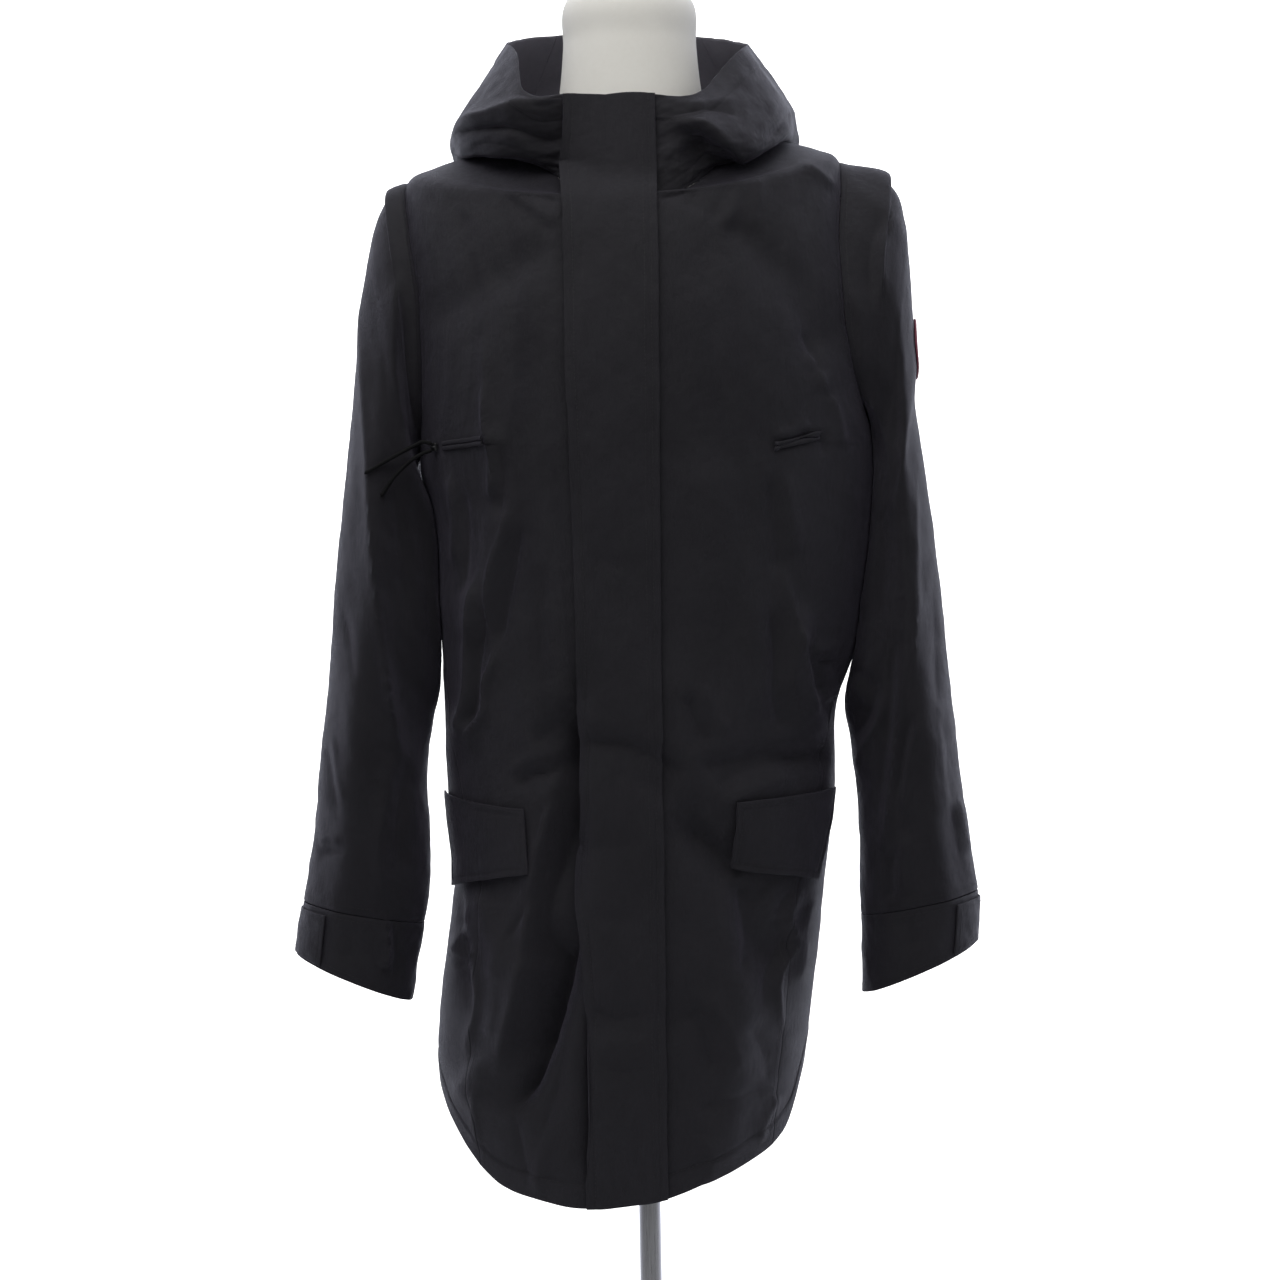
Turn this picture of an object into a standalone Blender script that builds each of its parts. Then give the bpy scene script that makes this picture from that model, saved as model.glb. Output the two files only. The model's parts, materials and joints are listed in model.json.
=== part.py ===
"""A long hooded rain jacket, closed, on a limbless dress form with a pole and a round base.

The jacket faces -Y and stands along +Z, with the origin under the middle of the base. Sides are the
wearer's: the wearer's right is at -X. Each cloth piece is a thin wall worked out from one of three
surfaces, which are the body, the sleeve and the hood. What lies on a panel is made from the panel's own
points, moved out. Lengths are in metres and angles in degrees.
"""

import bpy
import numpy as np

# Cloth and seams
CLOTH = 0.0015  # thickness of every cloth wall
SEAM = 0.0003  # air left between two pieces
LAYER = CLOTH + SEAM  # how far a piece lies out from the one under it
SEAM_ANGLE = 0.1  # half of the air at a seam that runs up the body, as an angle round it
ROUNDNESS = 0.87  # power of the body's rings: 1 is an ellipse, less is squarer

# The body: rings from hem to neck. dip lowers a ring at the front, tilt raises its +X side.
HEM_ALONG, HIP_ALONG, SHOULDER_ALONG, NECK_ALONG = 0.50, 0.80, 1.43, 1.545
BODY = (
    # along, height, wearer's right, left, front, back, dip, tilt
    (0.540, 0.540, 0.1720, 0.1220, 0.130, 0.126, 0.000, 0.000),
    (0.600, 0.600, 0.1765, 0.1280, 0.132, 0.128, 0.000, 0.000),
    (0.650, 0.650, 0.1810, 0.1360, 0.133, 0.130, 0.000, 0.000),
    (0.700, 0.700, 0.1805, 0.1435, 0.134, 0.130, 0.000, 0.000),
    (0.760, 0.760, 0.1730, 0.1515, 0.134, 0.129, 0.000, 0.000),
    (0.830, 0.830, 0.1648, 0.1595, 0.134, 0.128, 0.000, 0.000),
    (0.900, 0.900, 0.1700, 0.1685, 0.134, 0.126, 0.000, 0.000),
    (0.965, 0.965, 0.1720, 0.1705, 0.134, 0.124, 0.000, 0.000),
    (1.010, 1.010, 0.1725, 0.1870, 0.133, 0.124, 0.000, 0.000),
    (1.060, 1.060, 0.1755, 0.1970, 0.133, 0.125, 0.000, 0.000),
    (1.130, 1.130, 0.1785, 0.2070, 0.134, 0.127, 0.000, 0.000),
    (1.165, 1.165, 0.1865, 0.2085, 0.135, 0.129, 0.000, 0.000),
    (1.230, 1.230, 0.1910, 0.2060, 0.135, 0.130, 0.000, 0.000),
    (1.300, 1.300, 0.1965, 0.2020, 0.130, 0.127, 0.000, 0.000),
    (1.350, 1.350, 0.1995, 0.1970, 0.121, 0.120, 0.004, 0.000),
    (1.385, 1.385, 0.2010, 0.1910, 0.115, 0.111, 0.012, 0.003),
    (1.410, 1.412, 0.2000, 0.1870, 0.110, 0.104, 0.022, 0.005),
    (1.430, 1.434, 0.1960, 0.1810, 0.107, 0.099, 0.034, 0.006),
    (1.460, 1.446, 0.1720, 0.1620, 0.1045, 0.092, 0.046, 0.005),
    (1.490, 1.454, 0.1430, 0.1370, 0.102, 0.086, 0.056, 0.004),
    (1.520, 1.460, 0.1140, 0.1100, 0.100, 0.081, 0.064, 0.002),
    (1.545, 1.465, 0.0900, 0.0900, 0.0985, 0.078, 0.070, 0.000),
)
BACK_NECK_RISE = 0.010  # how much higher the neck seam is at the back than at the side
HEM = (
    # angle from the front, height
    (-180, 0.635),
    (-120, 0.655),
    (-90, 0.652),
    (-74, 0.625),
    (-60, 0.596),
    (-45, 0.5675),
    (-30, 0.5555),
    (-15, 0.549),
    (0, 0.5535),
    (21, 0.570),
    (38, 0.583),
    (55, 0.596),
    (65, 0.610),
    (73, 0.638),
    (82, 0.658),
    (120, 0.662),
    (180, 0.635),
)
SIDE_SEAM = (
    # along, how far the side seam is in front of the side, as an angle
    (0.50, 38),
    (0.80, 38),
    (0.90, 26),
    (1.00, 14),
    (1.12, 4),
    (1.19, 0),
    (1.545, 0),
)

# Folds of the body. Each is a line through three points, seen from the front, with a width and a height
# (a negative one is a trough). Deep folds pass under the storm flap, shared ones run on through it.
DEEP_FOLDS = (
    # x, z, x, z, x, z, width, height
    (-0.060, 0.942, -0.074, 0.812, -0.099, 0.690, 0.018, -0.013),
    (-0.100, 0.745, -0.115, 0.699, -0.150, 0.643, 0.014, 0.008),
    (-0.141, 1.060, -0.139, 0.989, -0.153, 0.943, 0.011, 0.005),
    (-0.121, 1.190, -0.112, 1.144, -0.134, 1.043, 0.013, 0.006),
    (0.060, 1.150, 0.085, 1.060, 0.100, 0.980, 0.022, 0.005),
    (0.045, 0.866, 0.073, 0.830, 0.104, 0.762, 0.020, -0.011),
    (0.133, 1.037, 0.130, 0.985, 0.146, 0.949, 0.011, 0.006),
    (0.060, 0.918, 0.105, 0.926, 0.155, 0.922, 0.009, -0.006),
    (0.078, 0.800, 0.075, 0.700, 0.060, 0.600, 0.022, 0.007),
    (-0.135, 0.800, -0.120, 0.760, -0.125, 0.700, 0.012, 0.006),
    (-0.155, 1.310, -0.120, 1.330, -0.085, 1.350, 0.018, -0.005),
    (0.160, 1.280, 0.130, 1.330, 0.095, 1.365, 0.018, -0.005),
)
SHARED_FOLDS = (
    (-0.095, 0.915, -0.021, 0.938, 0.014, 0.905, 0.018, -0.004),
    (-0.090, 0.715, -0.020, 0.708, 0.020, 0.714, 0.020, -0.004),
)
BACK_FOLDS = (
    (-0.060, 0.980, -0.085, 0.840, -0.105, 0.680, 0.022, -0.011),
    (0.020, 0.950, 0.025, 0.800, 0.010, 0.650, 0.024, 0.008),
    (0.075, 0.960, 0.095, 0.830, 0.100, 0.700, 0.020, -0.010),
    (-0.120, 1.150, -0.080, 1.060, -0.040, 1.010, 0.016, -0.006),
    (0.130, 1.140, 0.085, 1.050, 0.050, 1.000, 0.016, -0.006),
    (-0.150, 1.290, -0.120, 1.220, -0.110, 1.150, 0.022, 0.005),
    (0.150, 1.290, 0.125, 1.220, 0.115, 1.150, 0.022, 0.004),
)
FLAP_SHARE = 0.12  # how much of a deep trough the storm flap follows

# Armholes, as ovals on the body
ARMHOLE_ALONG, ARMHOLE_HALF = 1.310, 0.120
ARMHOLE_FRONT = {-1: 22, 1: 29}  # how far it reaches to the front, as an angle, by side
ARMHOLE_BACK = {-1: 23, 1: 23}
ARMHOLE_CLEAR = 0.0015  # how much larger the oval is cut in the fronts and the back
ARMHOLE_CLEAR_ANGLE = 0.35

# Sleeves: where each ring is highest and lowest, and how far it reaches to the front and the back
SLEEVE = (
    # ring, outer height, inner height, front, back, part of the armhole's own shape
    (0, 1.434, 1.190, -0.053, 0.052, 1.00),
    (1, 1.431, 1.182, -0.058, 0.056, 0.80),
    (2, 1.416, 1.170, -0.062, 0.059, 0.50),
    (3, 1.388, 1.150, -0.065, 0.061, 0.22),
    (4, 1.347, 1.128, -0.067, 0.062, 0.06),
    (5, 1.300, 1.103, -0.068, 0.061, 0.00),
    (6, 1.250, 1.075, -0.069, 0.059, 0.00),
    (7, 1.198, 1.045, -0.070, 0.056, 0.00),
    (8, 1.145, 1.012, -0.072, 0.053, 0.00),
    (9, 1.090, 0.975, -0.075, 0.051, 0.00),
    (10, 1.035, 0.937, -0.079, 0.049, 0.00),
    (11, 0.980, 0.900, -0.083, 0.045, 0.00),
    (12, 0.925, 0.860, -0.085, 0.038, 0.00),
    (13, 0.870, 0.820, -0.085, 0.030, 0.00),
    (14, 0.803, 0.783, -0.085, 0.022, 0.00),
    (15, 0.780, 0.750, -0.084, 0.018, 0.00),
    (16, 0.758, 0.716, -0.083, 0.014, 0.00),
)
CUFF_RING, LAST_RING = 14, 16
CUFF_SEAM = 0.02  # the air above a cuff, in rings
SLEEVE_START = 0.0014  # how far a sleeve's first ring stands out from the armhole
SLEEVE_STEP = 20
OUTER_EDGE = {
    # height, distance from the middle, by side
    -1: (
        (1.434, 0.1960),
        (1.431, 0.2060),
        (1.416, 0.2150),
        (1.388, 0.2265),
        (1.362, 0.2320),
        (1.310, 0.2390),
        (1.204, 0.2510),
        (1.117, 0.2607),
        (1.011, 0.2713),
        (0.906, 0.2810),
        (0.853, 0.2864),
        (0.800, 0.2953),
        (0.758, 0.3013),
    ),
    1: (
        (1.434, 0.1850),
        (1.431, 0.2080),
        (1.416, 0.2280),
        (1.388, 0.2385),
        (1.362, 0.2405),
        (1.310, 0.2430),
        (1.266, 0.2454),
        (1.231, 0.2435),
        (1.196, 0.2477),
        (1.108, 0.2585),
        (1.002, 0.2690),
        (0.896, 0.2768),
        (0.843, 0.2830),
        (0.800, 0.2890),
        (0.758, 0.2860),
    ),
}
INNER_EDGE = {
    -1: (
        (1.190, 0.1890),
        (1.182, 0.1930),
        (1.168, 0.1955),
        (1.150, 0.1900),
        (1.130, 0.1835),
        (1.060, 0.1805),
        (1.010, 0.1775),
        (0.985, 0.1772),
        (0.957, 0.1825),
        (0.904, 0.1887),
        (0.851, 0.1861),
        (0.816, 0.1867),
        (0.781, 0.1926),
        (0.716, 0.2034),
    ),
    1: (
        (1.190, 0.2085),
        (1.182, 0.2130),
        (1.165, 0.2155),
        (1.130, 0.2120),
        (1.060, 0.2025),
        (1.010, 0.1920),
        (0.985, 0.1850),
        (0.968, 0.1800),
        (0.933, 0.1833),
        (0.897, 0.1870),
        (0.845, 0.1888),
        (0.774, 0.1884),
        (0.716, 0.1887),
    ),
}
SLEEVE_FOLDS = (
    # ring, angle round the sleeve, rings it covers, degrees it covers, height
    (7.0, 78, 6.0, 16, 0.0050),
    (12.0, 70, 3.0, 15, 0.0040),
    (9.5, 130, 0.8, 40, -0.0035),
    (8.2, 200, 0.7, 45, -0.0035),
    (10.6, 20, 0.8, 40, -0.0025),
    (4.0, 60, 1.2, 25, -0.0030),
    (11.6, 250, 0.8, 45, -0.0035),
    (6.0, 290, 3.0, 18, 0.0040),
)

# Neck seam between body and hood, as a ring: height at the side, half width, front, back, dip, rise
NECK_RING = (1.4664, 0.0894, 0.0979, 0.0775, 0.0702, 0.010)

# Hood, by the angle round the neck from the front opening (-12) over the wearer's left (90) and the back
# (180) to the right (270) and the opening again (348). Its sections start at the neck seam. Each further
# point is a distance out from the seam and a height.
HOOD = (
    # angle, low, z, roll, z, shoulder, z, crease, z, edge, z
    (-12, -0.0015, 1.415, -0.003, 1.433, -0.005, 1.451, -0.007, 1.469, -0.009, 1.4870),
    (0, -0.0015, 1.415, -0.003, 1.433, -0.005, 1.451, -0.007, 1.469, -0.009, 1.4885),
    (12, -0.0012, 1.416, -0.002, 1.434, -0.003, 1.452, -0.004, 1.469, -0.006, 1.4870),
    (22, 0.001, 1.420, 0.002, 1.437, 0.004, 1.454, 0.004, 1.470, -0.001, 1.4850),
    (32, 0.003, 1.425, 0.005, 1.438, 0.016, 1.450, 0.015, 1.467, 0.002, 1.4860),
    (42, 0.006, 1.430, 0.024, 1.436, 0.029, 1.446, 0.020, 1.469, 0.001, 1.4940),
    (52, 0.014, 1.432, 0.034, 1.434, 0.038, 1.446, 0.026, 1.474, -0.001, 1.5050),
    (65, 0.020, 1.442, 0.041, 1.444, 0.044, 1.456, 0.032, 1.486, 0.003, 1.5220),
    (78, 0.030, 1.455, 0.048, 1.458, 0.050, 1.472, 0.038, 1.497, 0.010, 1.5370),
    (90, 0.036, 1.4625, 0.051, 1.466, 0.0505, 1.486, 0.041, 1.503, 0.013, 1.5440),
    (120, 0.046, 1.460, 0.070, 1.450, 0.078, 1.478, 0.062, 1.516, 0.024, 1.5580),
    (150, 0.066, 1.406, 0.094, 1.396, 0.104, 1.450, 0.082, 1.520, 0.034, 1.5730),
    (180, 0.062, 1.360, 0.100, 1.362, 0.112, 1.436, 0.090, 1.520, 0.040, 1.5800),
    (210, 0.066, 1.404, 0.096, 1.394, 0.106, 1.448, 0.086, 1.520, 0.036, 1.5770),
    (240, 0.050, 1.450, 0.080, 1.446, 0.086, 1.474, 0.068, 1.514, 0.026, 1.5640),
    (270, 0.042, 1.4560, 0.062, 1.4530, 0.068, 1.467, 0.062, 1.483, 0.017, 1.5490),
    (282, 0.036, 1.4490, 0.056, 1.4480, 0.063, 1.464, 0.059, 1.481, 0.014, 1.5410),
    (295, 0.030, 1.4420, 0.047, 1.4440, 0.055, 1.461, 0.052, 1.479, 0.016, 1.5270),
    (305, 0.024, 1.4360, 0.040, 1.4420, 0.047, 1.459, 0.046, 1.478, 0.023, 1.5080),
    (313, 0.013, 1.4300, 0.029, 1.4400, 0.038, 1.458, 0.040, 1.475, 0.029, 1.4900),
    (319, 0.005, 1.4290, 0.012, 1.4410, 0.019, 1.456, 0.024, 1.471, 0.024, 1.4850),
    (326, 0.002, 1.4285, 0.004, 1.4430, 0.006, 1.458, 0.007, 1.473, 0.007, 1.4885),
    (336, 0.000, 1.4240, 0.000, 1.4400, -0.001, 1.456, -0.002, 1.472, -0.003, 1.4880),
    (348, -0.0015, 1.415, -0.003, 1.433, -0.005, 1.451, -0.007, 1.469, -0.009, 1.4870),
)
HOOD_POINTS = 6
HOOD_FIRST_ANGLE = -12
HOOD_CLEAR = 0.0068  # the least distance of the hood's middle surface from the body's
HOOD_CLEAR_AT_SEAM = 0.0038
HOOD_CLEAR_FROM = 0.08  # the share of a section over which the distance grows
HOOD_ROWS = (0, 0.05, 0.1, 0.15, 0.2, 0.3, 0.4, 0.5, 0.6, 0.7, 0.8, 0.9, 1)  # shares of a section
HOOD_STEPS = 6
HOOD_SEAMS = (150, 210)  # where the centre panel meets the side panels
HOOD_SEAM_ANGLE = 0.16

# Storm flap and front zip, as seen from the front
FLAP_EDGES = (
    # height, free edge, sewn edge
    (0.550, -0.0525, 0.0150),
    (0.890, -0.0520, 0.0170),
    (1.060, -0.0530, 0.0180),
    (1.227, -0.0570, 0.0195),
    (1.400, -0.0590, 0.0210),
    (1.500, -0.0590, 0.0210),
)
FRONTS_MEET = -0.018  # where the two fronts meet, under the flap
ZIP_HALF = 0.013
ZIP_THICK = 0.0012
FLAP_CLEAR = 0.0007  # the air between the zip and the flap
STRIP_ROWS_TOP = 1.50  # the flap and the zip leave the body here and go on up the hood

# Pocket flaps: corners (x, z) seen from the front, sewn edge first
POCKET_FLAPS = {
    "pocket_flap_right": ((-0.1690, 0.8960), (-0.0998, 0.8835), (-0.0945, 0.8290), (-0.1610, 0.8140)),
    "pocket_flap_left": ((0.1635, 0.8945), (0.0770, 0.8870), (0.0790, 0.8300), (0.1440, 0.8170)),
}
POCKET_FLAP_OUT = 0.0029
POCKET_FLAP_LIFT = 0.0025  # how far a flap's free edge stands off
CHEST_ZIPS = {
    "chest_zip_right": ((-0.1640, 1.1965), (-0.1200, 1.1980), (-0.1200, 1.1900), (-0.1640, 1.1885)),
    "chest_zip_left": ((0.1560, 1.1990), (0.1150, 1.1885), (0.1150, 1.1805), (0.1560, 1.1910)),
}
CHEST_ZIP_OUT = 0.0023

# Slider and the free ends of its cord pull
SLIDER = ((-0.1740, 1.1960), (-0.1660, 1.1960), (-0.1660, 1.1885), (-0.1740, 1.1885))
SLIDER_THICK = 0.0035
SLIDER_OUT = 0.0032
CORD_RADIUS = 0.00175
CORD_ROUTES = {
    "pull_cord_upper": (
        (-0.1748, -0.0745, 1.1946),
        (-0.1830, -0.0740, 1.1965),
        (-0.1930, -0.0735, 1.1920),
        (-0.2080, -0.0760, 1.1840),
        (-0.2330, -0.0765, 1.1700),
    ),
    "pull_cord_lower": (
        (-0.1747, -0.0745, 1.1894),
        (-0.1840, -0.0750, 1.1860),
        (-0.1950, -0.0755, 1.1790),
        (-0.2080, -0.0770, 1.1660),
        (-0.2190, -0.0775, 1.1500),
    ),
}
CORD_POINTS = 14

# Cuff tabs and sleeve patch, on the sleeve's surface
TAB_ANGLES = (-80, 60)  # from the back, over the outside, to the front
TAB_RINGS = (14.12, 14.75, 15.35, 15.9)
PATCH_RING, PATCH_ANGLE, PATCH_RADIUS = 5.5, 4.0, 0.0265
PATCH_OUT = 0.0020
PATCH_STEPS = 25
TAB_OUT = LAYER + SEAM

# Dress form, pole and base
FORM = (
    # along, height, wearer's right, left, front, back, dip, tilt
    (0.755, 0.755, 0.1350, 0.1280, 0.102, 0.100, 0.000, 0.000),
    (0.765, 0.765, 0.1430, 0.1350, 0.110, 0.106, 0.000, 0.000),
    (0.860, 0.860, 0.1450, 0.1420, 0.110, 0.106, 0.000, 0.000),
    (0.950, 0.950, 0.1420, 0.1420, 0.102, 0.098, 0.000, 0.000),
    (1.020, 1.020, 0.1460, 0.1480, 0.104, 0.098, 0.000, 0.000),
    (1.100, 1.100, 0.1580, 0.1600, 0.110, 0.102, 0.000, 0.000),
    (1.190, 1.190, 0.1700, 0.1730, 0.116, 0.108, 0.000, 0.000),
    (1.260, 1.260, 0.1790, 0.1830, 0.117, 0.112, 0.000, 0.000),
    (1.330, 1.330, 0.1900, 0.1880, 0.112, 0.110, 0.001, 0.000),
    (1.385, 1.3815, 0.1965, 0.1865, 0.107, 0.1055, 0.012, 0.003),
    (1.410, 1.4085, 0.1950, 0.1820, 0.1035, 0.0990, 0.022, 0.005),
    (1.430, 1.4300, 0.1900, 0.1750, 0.0940, 0.0945, 0.035, 0.006),
    (1.460, 1.4420, 0.1680, 0.1580, 0.0895, 0.0880, 0.042, 0.005),
    (1.490, 1.4498, 0.1390, 0.1330, 0.0845, 0.0825, 0.046, 0.004),
    (1.520, 1.4560, 0.1070, 0.1030, 0.0780, 0.0760, 0.044, 0.002),
    (1.545, 1.4640, 0.0790, 0.0790, 0.0705, 0.0690, 0.034, 0.000),
    (1.565, 1.4790, 0.0670, 0.0670, 0.0645, 0.0640, 0.020, 0.000),
    (1.600, 1.5080, 0.0620, 0.0620, 0.0610, 0.0610, 0.006, 0.000),
    (1.640, 1.5450, 0.0585, 0.0585, 0.0585, 0.0585, 0.000, 0.000),
    (1.678, 1.5810, 0.0570, 0.0570, 0.0570, 0.0570, 0.000, 0.000),
    (1.684, 1.5860, 0.0545, 0.0545, 0.0545, 0.0545, 0.000, 0.000),
)
FORM_TORSO, FORM_NECK = (0.80, 1.38), (1.40, 1.684)  # where its rings are even, along it
POLE_RADIUS = 0.0095
BOSS_TOP = 0.045
BASE = (
    # radius, height
    (0.190, 0.0),
    (0.190, 0.008),
    (0.186, 0.010),
    (0.030, 0.016),
    (0.020, 0.020),
    (0.020, BOSS_TOP),
)
POLE_FOOT = BOSS_TOP + SEAM
POLE_HEAD = FORM[0][0] - SEAM

# Colours (linear RGB)
JACKET_COLOUR = (0.021, 0.019, 0.022)
ZIP_COLOUR = (0.012, 0.012, 0.013)
PATCH_COLOUR = (0.30, 0.06, 0.08)
FORM_COLOUR = (0.60, 0.58, 0.52)
METAL_COLOUR = (0.45, 0.45, 0.46)
BASE_COLOUR = (0.10, 0.10, 0.10)


# ---- reading tables ----------------------------------------------------------------------------


def read_table(rows, at):
    """The other columns of a table at any value of its first, through a smooth curve."""
    rows = np.array(rows, float)
    if rows[0, 0] > rows[-1, 0]:
        rows = rows[::-1]
    x, y = rows[:, 0], rows[:, 1:]
    step = np.diff(x)[:, None]
    slope = np.diff(y, axis=0) / step
    inner = (slope[1:] * step[:-1] + slope[:-1] * step[1:]) / (step[1:] + step[:-1])
    tangent = np.vstack([slope[:1], inner, slope[-1:]])
    at = np.clip(np.asarray(at, float), x[0], x[-1])
    i = np.clip(np.searchsorted(x, at, side="right") - 1, 0, len(x) - 2)
    h = (x[i + 1] - x[i])[..., None]
    t = (at - x[i])[..., None] / h
    start = (2 * t**3 - 3 * t**2 + 1) * y[i] + (t**3 - 2 * t**2 + t) * h * tangent[i]
    end = (3 * t**2 - 2 * t**3) * y[i + 1] + (t**3 - t**2) * h * tangent[i + 1]
    return np.moveaxis(start + end, -1, 0)


def line_table(rows, at):
    """The second column of a table at any value of its first, along straight lines."""
    rows = np.array(rows, float)
    return np.interp(at, rows[:, 0], rows[:, 1])


# ---- the body ----------------------------------------------------------------------------------


def signed_power(value, power):
    return np.sign(value) * np.abs(value) ** power


def fold_height(folds, x, z):
    """The sum of the folds at points seen from the front: each fades as a bell with the distance."""
    total = np.zeros(np.broadcast(x, z).shape)
    for x0, z0, x1, z1, x2, z2, width, height in folds:
        nearest = np.full(total.shape, np.inf)
        for (ax, az), (bx, bz) in (((x0, z0), (x1, z1)), ((x1, z1), (x2, z2))):
            length = (bx - ax) ** 2 + (bz - az) ** 2
            t = np.clip(((x - ax) * (bx - ax) + (z - az) * (bz - az)) / length, 0, 1)
            away = (x - ax - t * (bx - ax)) ** 2 + (z - az - t * (bz - az)) ** 2
            nearest = np.minimum(nearest, away)
        total += height * np.exp(-nearest / width**2)
    return total


def ring_point(table, angle, along):
    """A point of a ring: x and y are powers of the angle's sine and cosine times the half widths."""
    height, right, left, front, back, dip, tilt = read_table(table, along)
    across, ahead = np.sin(np.radians(angle)), np.cos(np.radians(angle))
    x = np.where(across < 0, right, left) * signed_power(across, ROUNDNESS)
    y = np.where(ahead > 0, -front, -back) * signed_power(ahead, ROUNDNESS)
    z = height - dip * np.clip(ahead, 0, 1) ** 1.5 + tilt * across
    return x, y, z


def hem_height(angle):
    """The hem's height at an angle from the front, which may pass 180 degrees."""
    turned = (np.asarray(angle, float) + 180) % 360 - 180
    return read_table(HEM, turned)[0]


def level_at(along, angle):
    """The height at which a ring is read: below the hip the rings sink towards the hem's curve."""
    up = np.clip((along - HEM_ALONG) / (HIP_ALONG - HEM_ALONG), 0, 1)
    hem = hem_height(angle)
    return np.where(along < HIP_ALONG, hem + (HIP_ALONG - hem) * up, along)


def body(angle, along, deep_share=1.0):
    """A point of the jacket's body, with its folds. deep_share is how much of a deep trough it follows."""
    angle, along = np.broadcast_arrays(np.asarray(angle, float), np.asarray(along, float))
    x, y, z = ring_point(BODY, angle, level_at(along, angle))
    ahead = np.cos(np.radians(angle))
    neck = np.clip((along - SHOULDER_ALONG) / (NECK_ALONG - SHOULDER_ALONG), 0, 1)
    z = z + BACK_NECK_RISE * neck * np.clip(-ahead, 0, 1)
    deep = fold_height(DEEP_FOLDS, x, z)
    deep = np.where(deep < 0, deep * deep_share, deep)
    front = deep + fold_height(SHARED_FOLDS, x, z)
    out = np.where(ahead > 0, front, fold_height(BACK_FOLDS, x, z)) * np.clip(np.abs(ahead) * 2.5, 0, 1)
    reach = np.hypot(x, y)
    return np.stack([x + out * x / reach, y + out * y / reach, z], axis=-1)


def flap_body(angle, along):
    """The body as the storm flap follows it: it bridges most of a deep trough."""
    return body(angle, along, FLAP_SHARE)


def widths_at(level):
    """The body's half widths at a height: to the wearer's right, and to the left."""
    return read_table(BODY, level)[1:3]


def angle_at(x, widths):
    """The angle from the front at which a ring with these half widths has this x."""
    half = np.where(np.asarray(x) < 0, *widths)
    return np.degrees(np.arcsin(signed_power(np.clip(x / half, -0.999, 0.999), 1 / ROUNDNESS)))


def moved_out(surface, u, v, out, du=0.05, dv=0.0005):
    """Points of a surface moved out along its normal."""
    across = surface(u + du, v) - surface(u - du, v)
    up = surface(u, v + dv) - surface(u, v - dv)
    normal = np.cross(across, up)
    normal /= np.linalg.norm(normal, axis=-1, keepdims=True)
    return surface(u, v) + normal * np.asarray(out)[..., None]


def armhole_edge(along, side):
    """The angles of the armhole's front and back edge on the rings that it cuts."""
    high = np.clip((along - ARMHOLE_ALONG) / (ARMHOLE_HALF + ARMHOLE_CLEAR), -1, 1)
    open_share = np.sqrt(1 - high**2)
    clear = ARMHOLE_CLEAR_ANGLE * (np.abs(high) < 1)
    return 90 - ARMHOLE_FRONT[side] * open_share - clear, 90 + ARMHOLE_BACK[side] * open_share + clear


def front_edge(along, side):
    """The outer edge of a front: the side seam, then the armhole, then the shoulder seam."""
    seam = 90 - line_table(SIDE_SEAM, along)
    return np.minimum(seam, armhole_edge(along, side)[0]) - SEAM_ANGLE


def back_edge(along, side):
    seam = 90 - line_table(SIDE_SEAM, along)
    arm = armhole_edge(along, side)[1]
    return np.where(arm > 90, arm, seam) + SEAM_ANGLE


# ---- the hood and the sleeves ------------------------------------------------------------------


def neck_ring(angle):
    """The x, y and z of the seam between body and hood: a ring that dips at the front."""
    height, half, front, back, dip, rise = NECK_RING
    across, ahead = np.sin(np.radians(angle)), np.cos(np.radians(angle))
    x = half * signed_power(across, ROUNDNESS)
    y = np.where(ahead > 0, -front, -back) * signed_power(ahead, ROUNDNESS)
    return x, y, height - dip * np.clip(ahead, 0, 1) ** 1.5 + rise * np.clip(-ahead, 0, 1)


def body_samples():
    """Points of the upper body and its normals there, for keeping the hood off it."""
    angle, along = np.meshgrid(np.arange(0, 360, 4.0), np.linspace(1.26, NECK_ALONG, 30))
    points = body(angle, along)
    normals = (moved_out(body, angle, along, np.ones(angle.shape)) - points).reshape(-1, 3)
    return points.reshape(-1, 3), normals


def kept_off_body(points, clear):
    """Points that would lie too near the body, moved out along its normal until they are clear of it."""
    samples, normals = BODY_SAMPLES
    flat = points.reshape(-1, 3)
    nearest = np.array([((samples - point) ** 2).sum(axis=1).argmin() for point in flat])
    away = ((flat - samples[nearest]) * normals[nearest]).sum(axis=1)
    short = np.clip(clear.ravel() - away, 0, None)
    return (flat + normals[nearest] * short[:, None]).reshape(points.shape)


def hood(angle, share):
    """A point of the hood: a smooth curve through the six points of its section at this angle."""
    angle, share = np.broadcast_arrays(np.asarray(angle, float), np.asarray(share, float))
    section = read_table(HOOD, (angle - HOOD_FIRST_ANGLE) % 360 + HOOD_FIRST_ANGLE)
    x, y, seam = neck_ring(angle)
    place = share * (HOOD_POINTS - 1)
    out = smooth_through([0 * seam, *section[0::2]], place)
    z = smooth_through([seam, *section[1::2]], place)
    across, ahead = np.sin(np.radians(angle)), np.cos(np.radians(angle))
    clear = HOOD_CLEAR_AT_SEAM + (HOOD_CLEAR - HOOD_CLEAR_AT_SEAM) * np.clip(share / HOOD_CLEAR_FROM, 0, 1)
    return kept_off_body(np.stack([x + out * across, y - out * ahead, z], axis=-1), clear)


def hood_angle_at(x, share):
    """The angles at which the front of the hood has this x, found by stepping towards it."""
    angle = angle_at(x, NECK_RING[1:2] * 2)
    for _ in range(HOOD_STEPS):
        now = hood(angle, share)[..., 0]
        angle = angle + (x - now) / (hood(angle + 1.0, share)[..., 0] - now)
    return angle


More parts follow.
